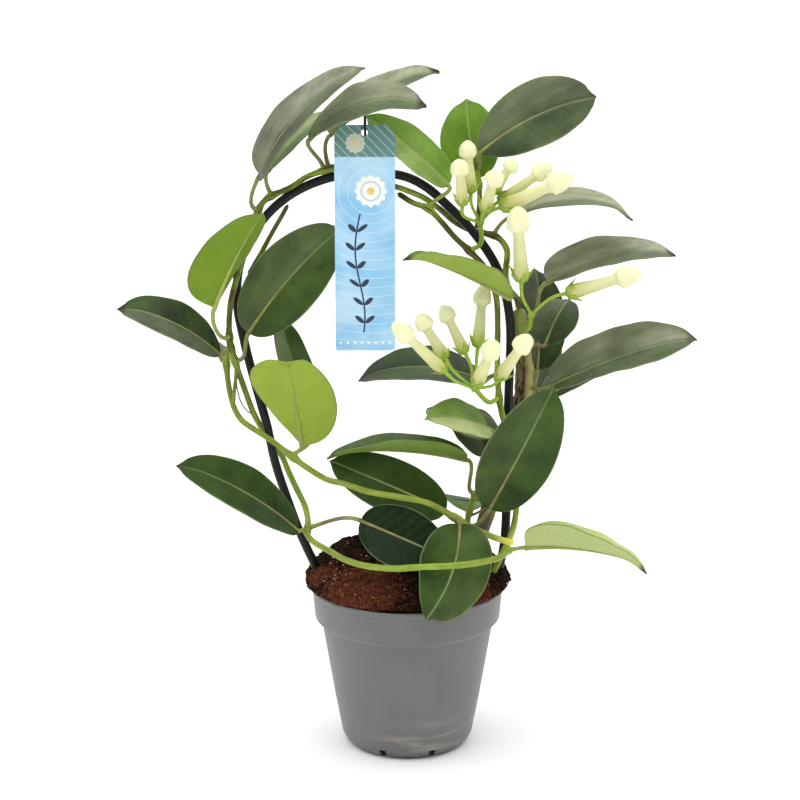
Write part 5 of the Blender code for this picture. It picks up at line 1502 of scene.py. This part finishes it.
CLIP_RADIUS = 0.8
CLIP_LINE = (
    (-25, -4.2, 357), (-25, -2.6, 354.6), (-25, 0.4, 353.8), (-25, 3.6, 355.4), (-25, 4.4, 359),
    (-25, 2.2, 364), (-25, -3, 373), (-25, -7.5, 384), (-25, -10.5, 391), (-25, -13.5, 393.4),
    (-25, -16.8, 391.5), (-25, -17.4, 388.0), (-25, -15.4, 385.1), (-25, -11.5, 384.8),
)
clip_line = smooth_line(CLIP_LINE, 0.8)
clip = grown(
    "clip_wire", line_mesh("clip_wire", [clip_line], girth=[CLIP_RADIUS * MM] * len(clip_line)), bar,
    Sides=12, Relief=0.02 * MM, Grain=400.0, Drawn_out=3.0, Skin=coat)
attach(clip, "root")
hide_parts("tag_clip")


# The floor, the light and the camera. A pale sweep under soft studio light, seen from a little above.

FLOOR_REACH = 9000
floor_paint, tree, shader, mm = new_material("pale_matt_paper", 0.9, 1.3)
shader.inputs["Base Color"].default_value = linear("#f8f9f9")
corners = [(FLOOR_REACH * x, FLOOR_REACH * y, 0) for x, y in ((-1, -1), (1, -1), (1, 1), (-1, 1))]
floor_mesh = new_mesh("floor", corners, [(0, 1, 2, 3)])
floor_mesh.materials.append(floor_paint)
floor = bpy.data.objects.new("floor", floor_mesh)
bpy.context.scene.collection.objects.link(floor)
floor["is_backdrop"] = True

# The studio is a white tent: brightest overhead and at the sides, dim in front where the camera stands.
world = bpy.data.worlds.new("studio")
world.use_nodes = True
tree = world.node_tree
way = add(tree, "ShaderNodeSeparateXYZ", [add(tree, "ShaderNodeTexCoord", out="Generated")]).node.outputs
aside = add(tree, "ShaderNodeMath", [way["X"]], operation="ABSOLUTE")
strength = add(tree, "ShaderNodeMapRange", [way["Z"], 0.3, 0.8, 0.55, 1.7])
for direction in ([way["Y"], -0.25, -0.95, 1.0, 0.3], [aside, 0.35, 0.95, 1.0, 1.4]):
    factor = add(tree, "ShaderNodeMapRange", direction)
    strength = add(tree, "ShaderNodeMath", [strength, factor], operation="MULTIPLY")
tree.links.new(strength, tree.nodes["Background"].inputs["Strength"])
tree.nodes["Background"].inputs["Color"].default_value = (1.0, 1.0, 1.0, 1.0)
bpy.context.scene.world = world

# Each light: where it stands, its strength, and how wide it is seen in degrees.
LIGHTS = {"soft_key": ((-0.55, -0.75, 1.4), 0.55, 60), "soft_top": ((0.5, 0.35, 1.5), 0.35, 80)}
for name, (place, strength, angle) in LIGHTS.items():
    lamp = bpy.data.lights.new(name, "SUN")
    lamp.energy = strength
    lamp.angle = math.radians(angle)
    lit = bpy.data.objects.new(name, lamp)
    lit.location = place
    lit.rotation_euler = Vector(place).to_track_quat("Z", "Y").to_euler()
    bpy.context.scene.collection.objects.link(lit)

SENSOR = 36.0
LENS = 99.45
EYE = (-0.0046, -1.30, 0.558)
LOOKS_DOWN = 14.6
eye = bpy.data.cameras.new("camera")
eye.sensor_width = SENSOR
eye.lens = LENS
eye.clip_start = 0.01
eye.clip_end = 50.0
camera = bpy.data.objects.new("camera", eye)
camera.location = EYE
camera.rotation_euler = (math.radians(90 - LOOKS_DOWN), 0.0, 0.0)
bpy.context.scene.collection.objects.link(camera)
bpy.context.scene.camera = camera
bpy.context.scene.view_settings.view_transform = "Standard"

low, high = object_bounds()
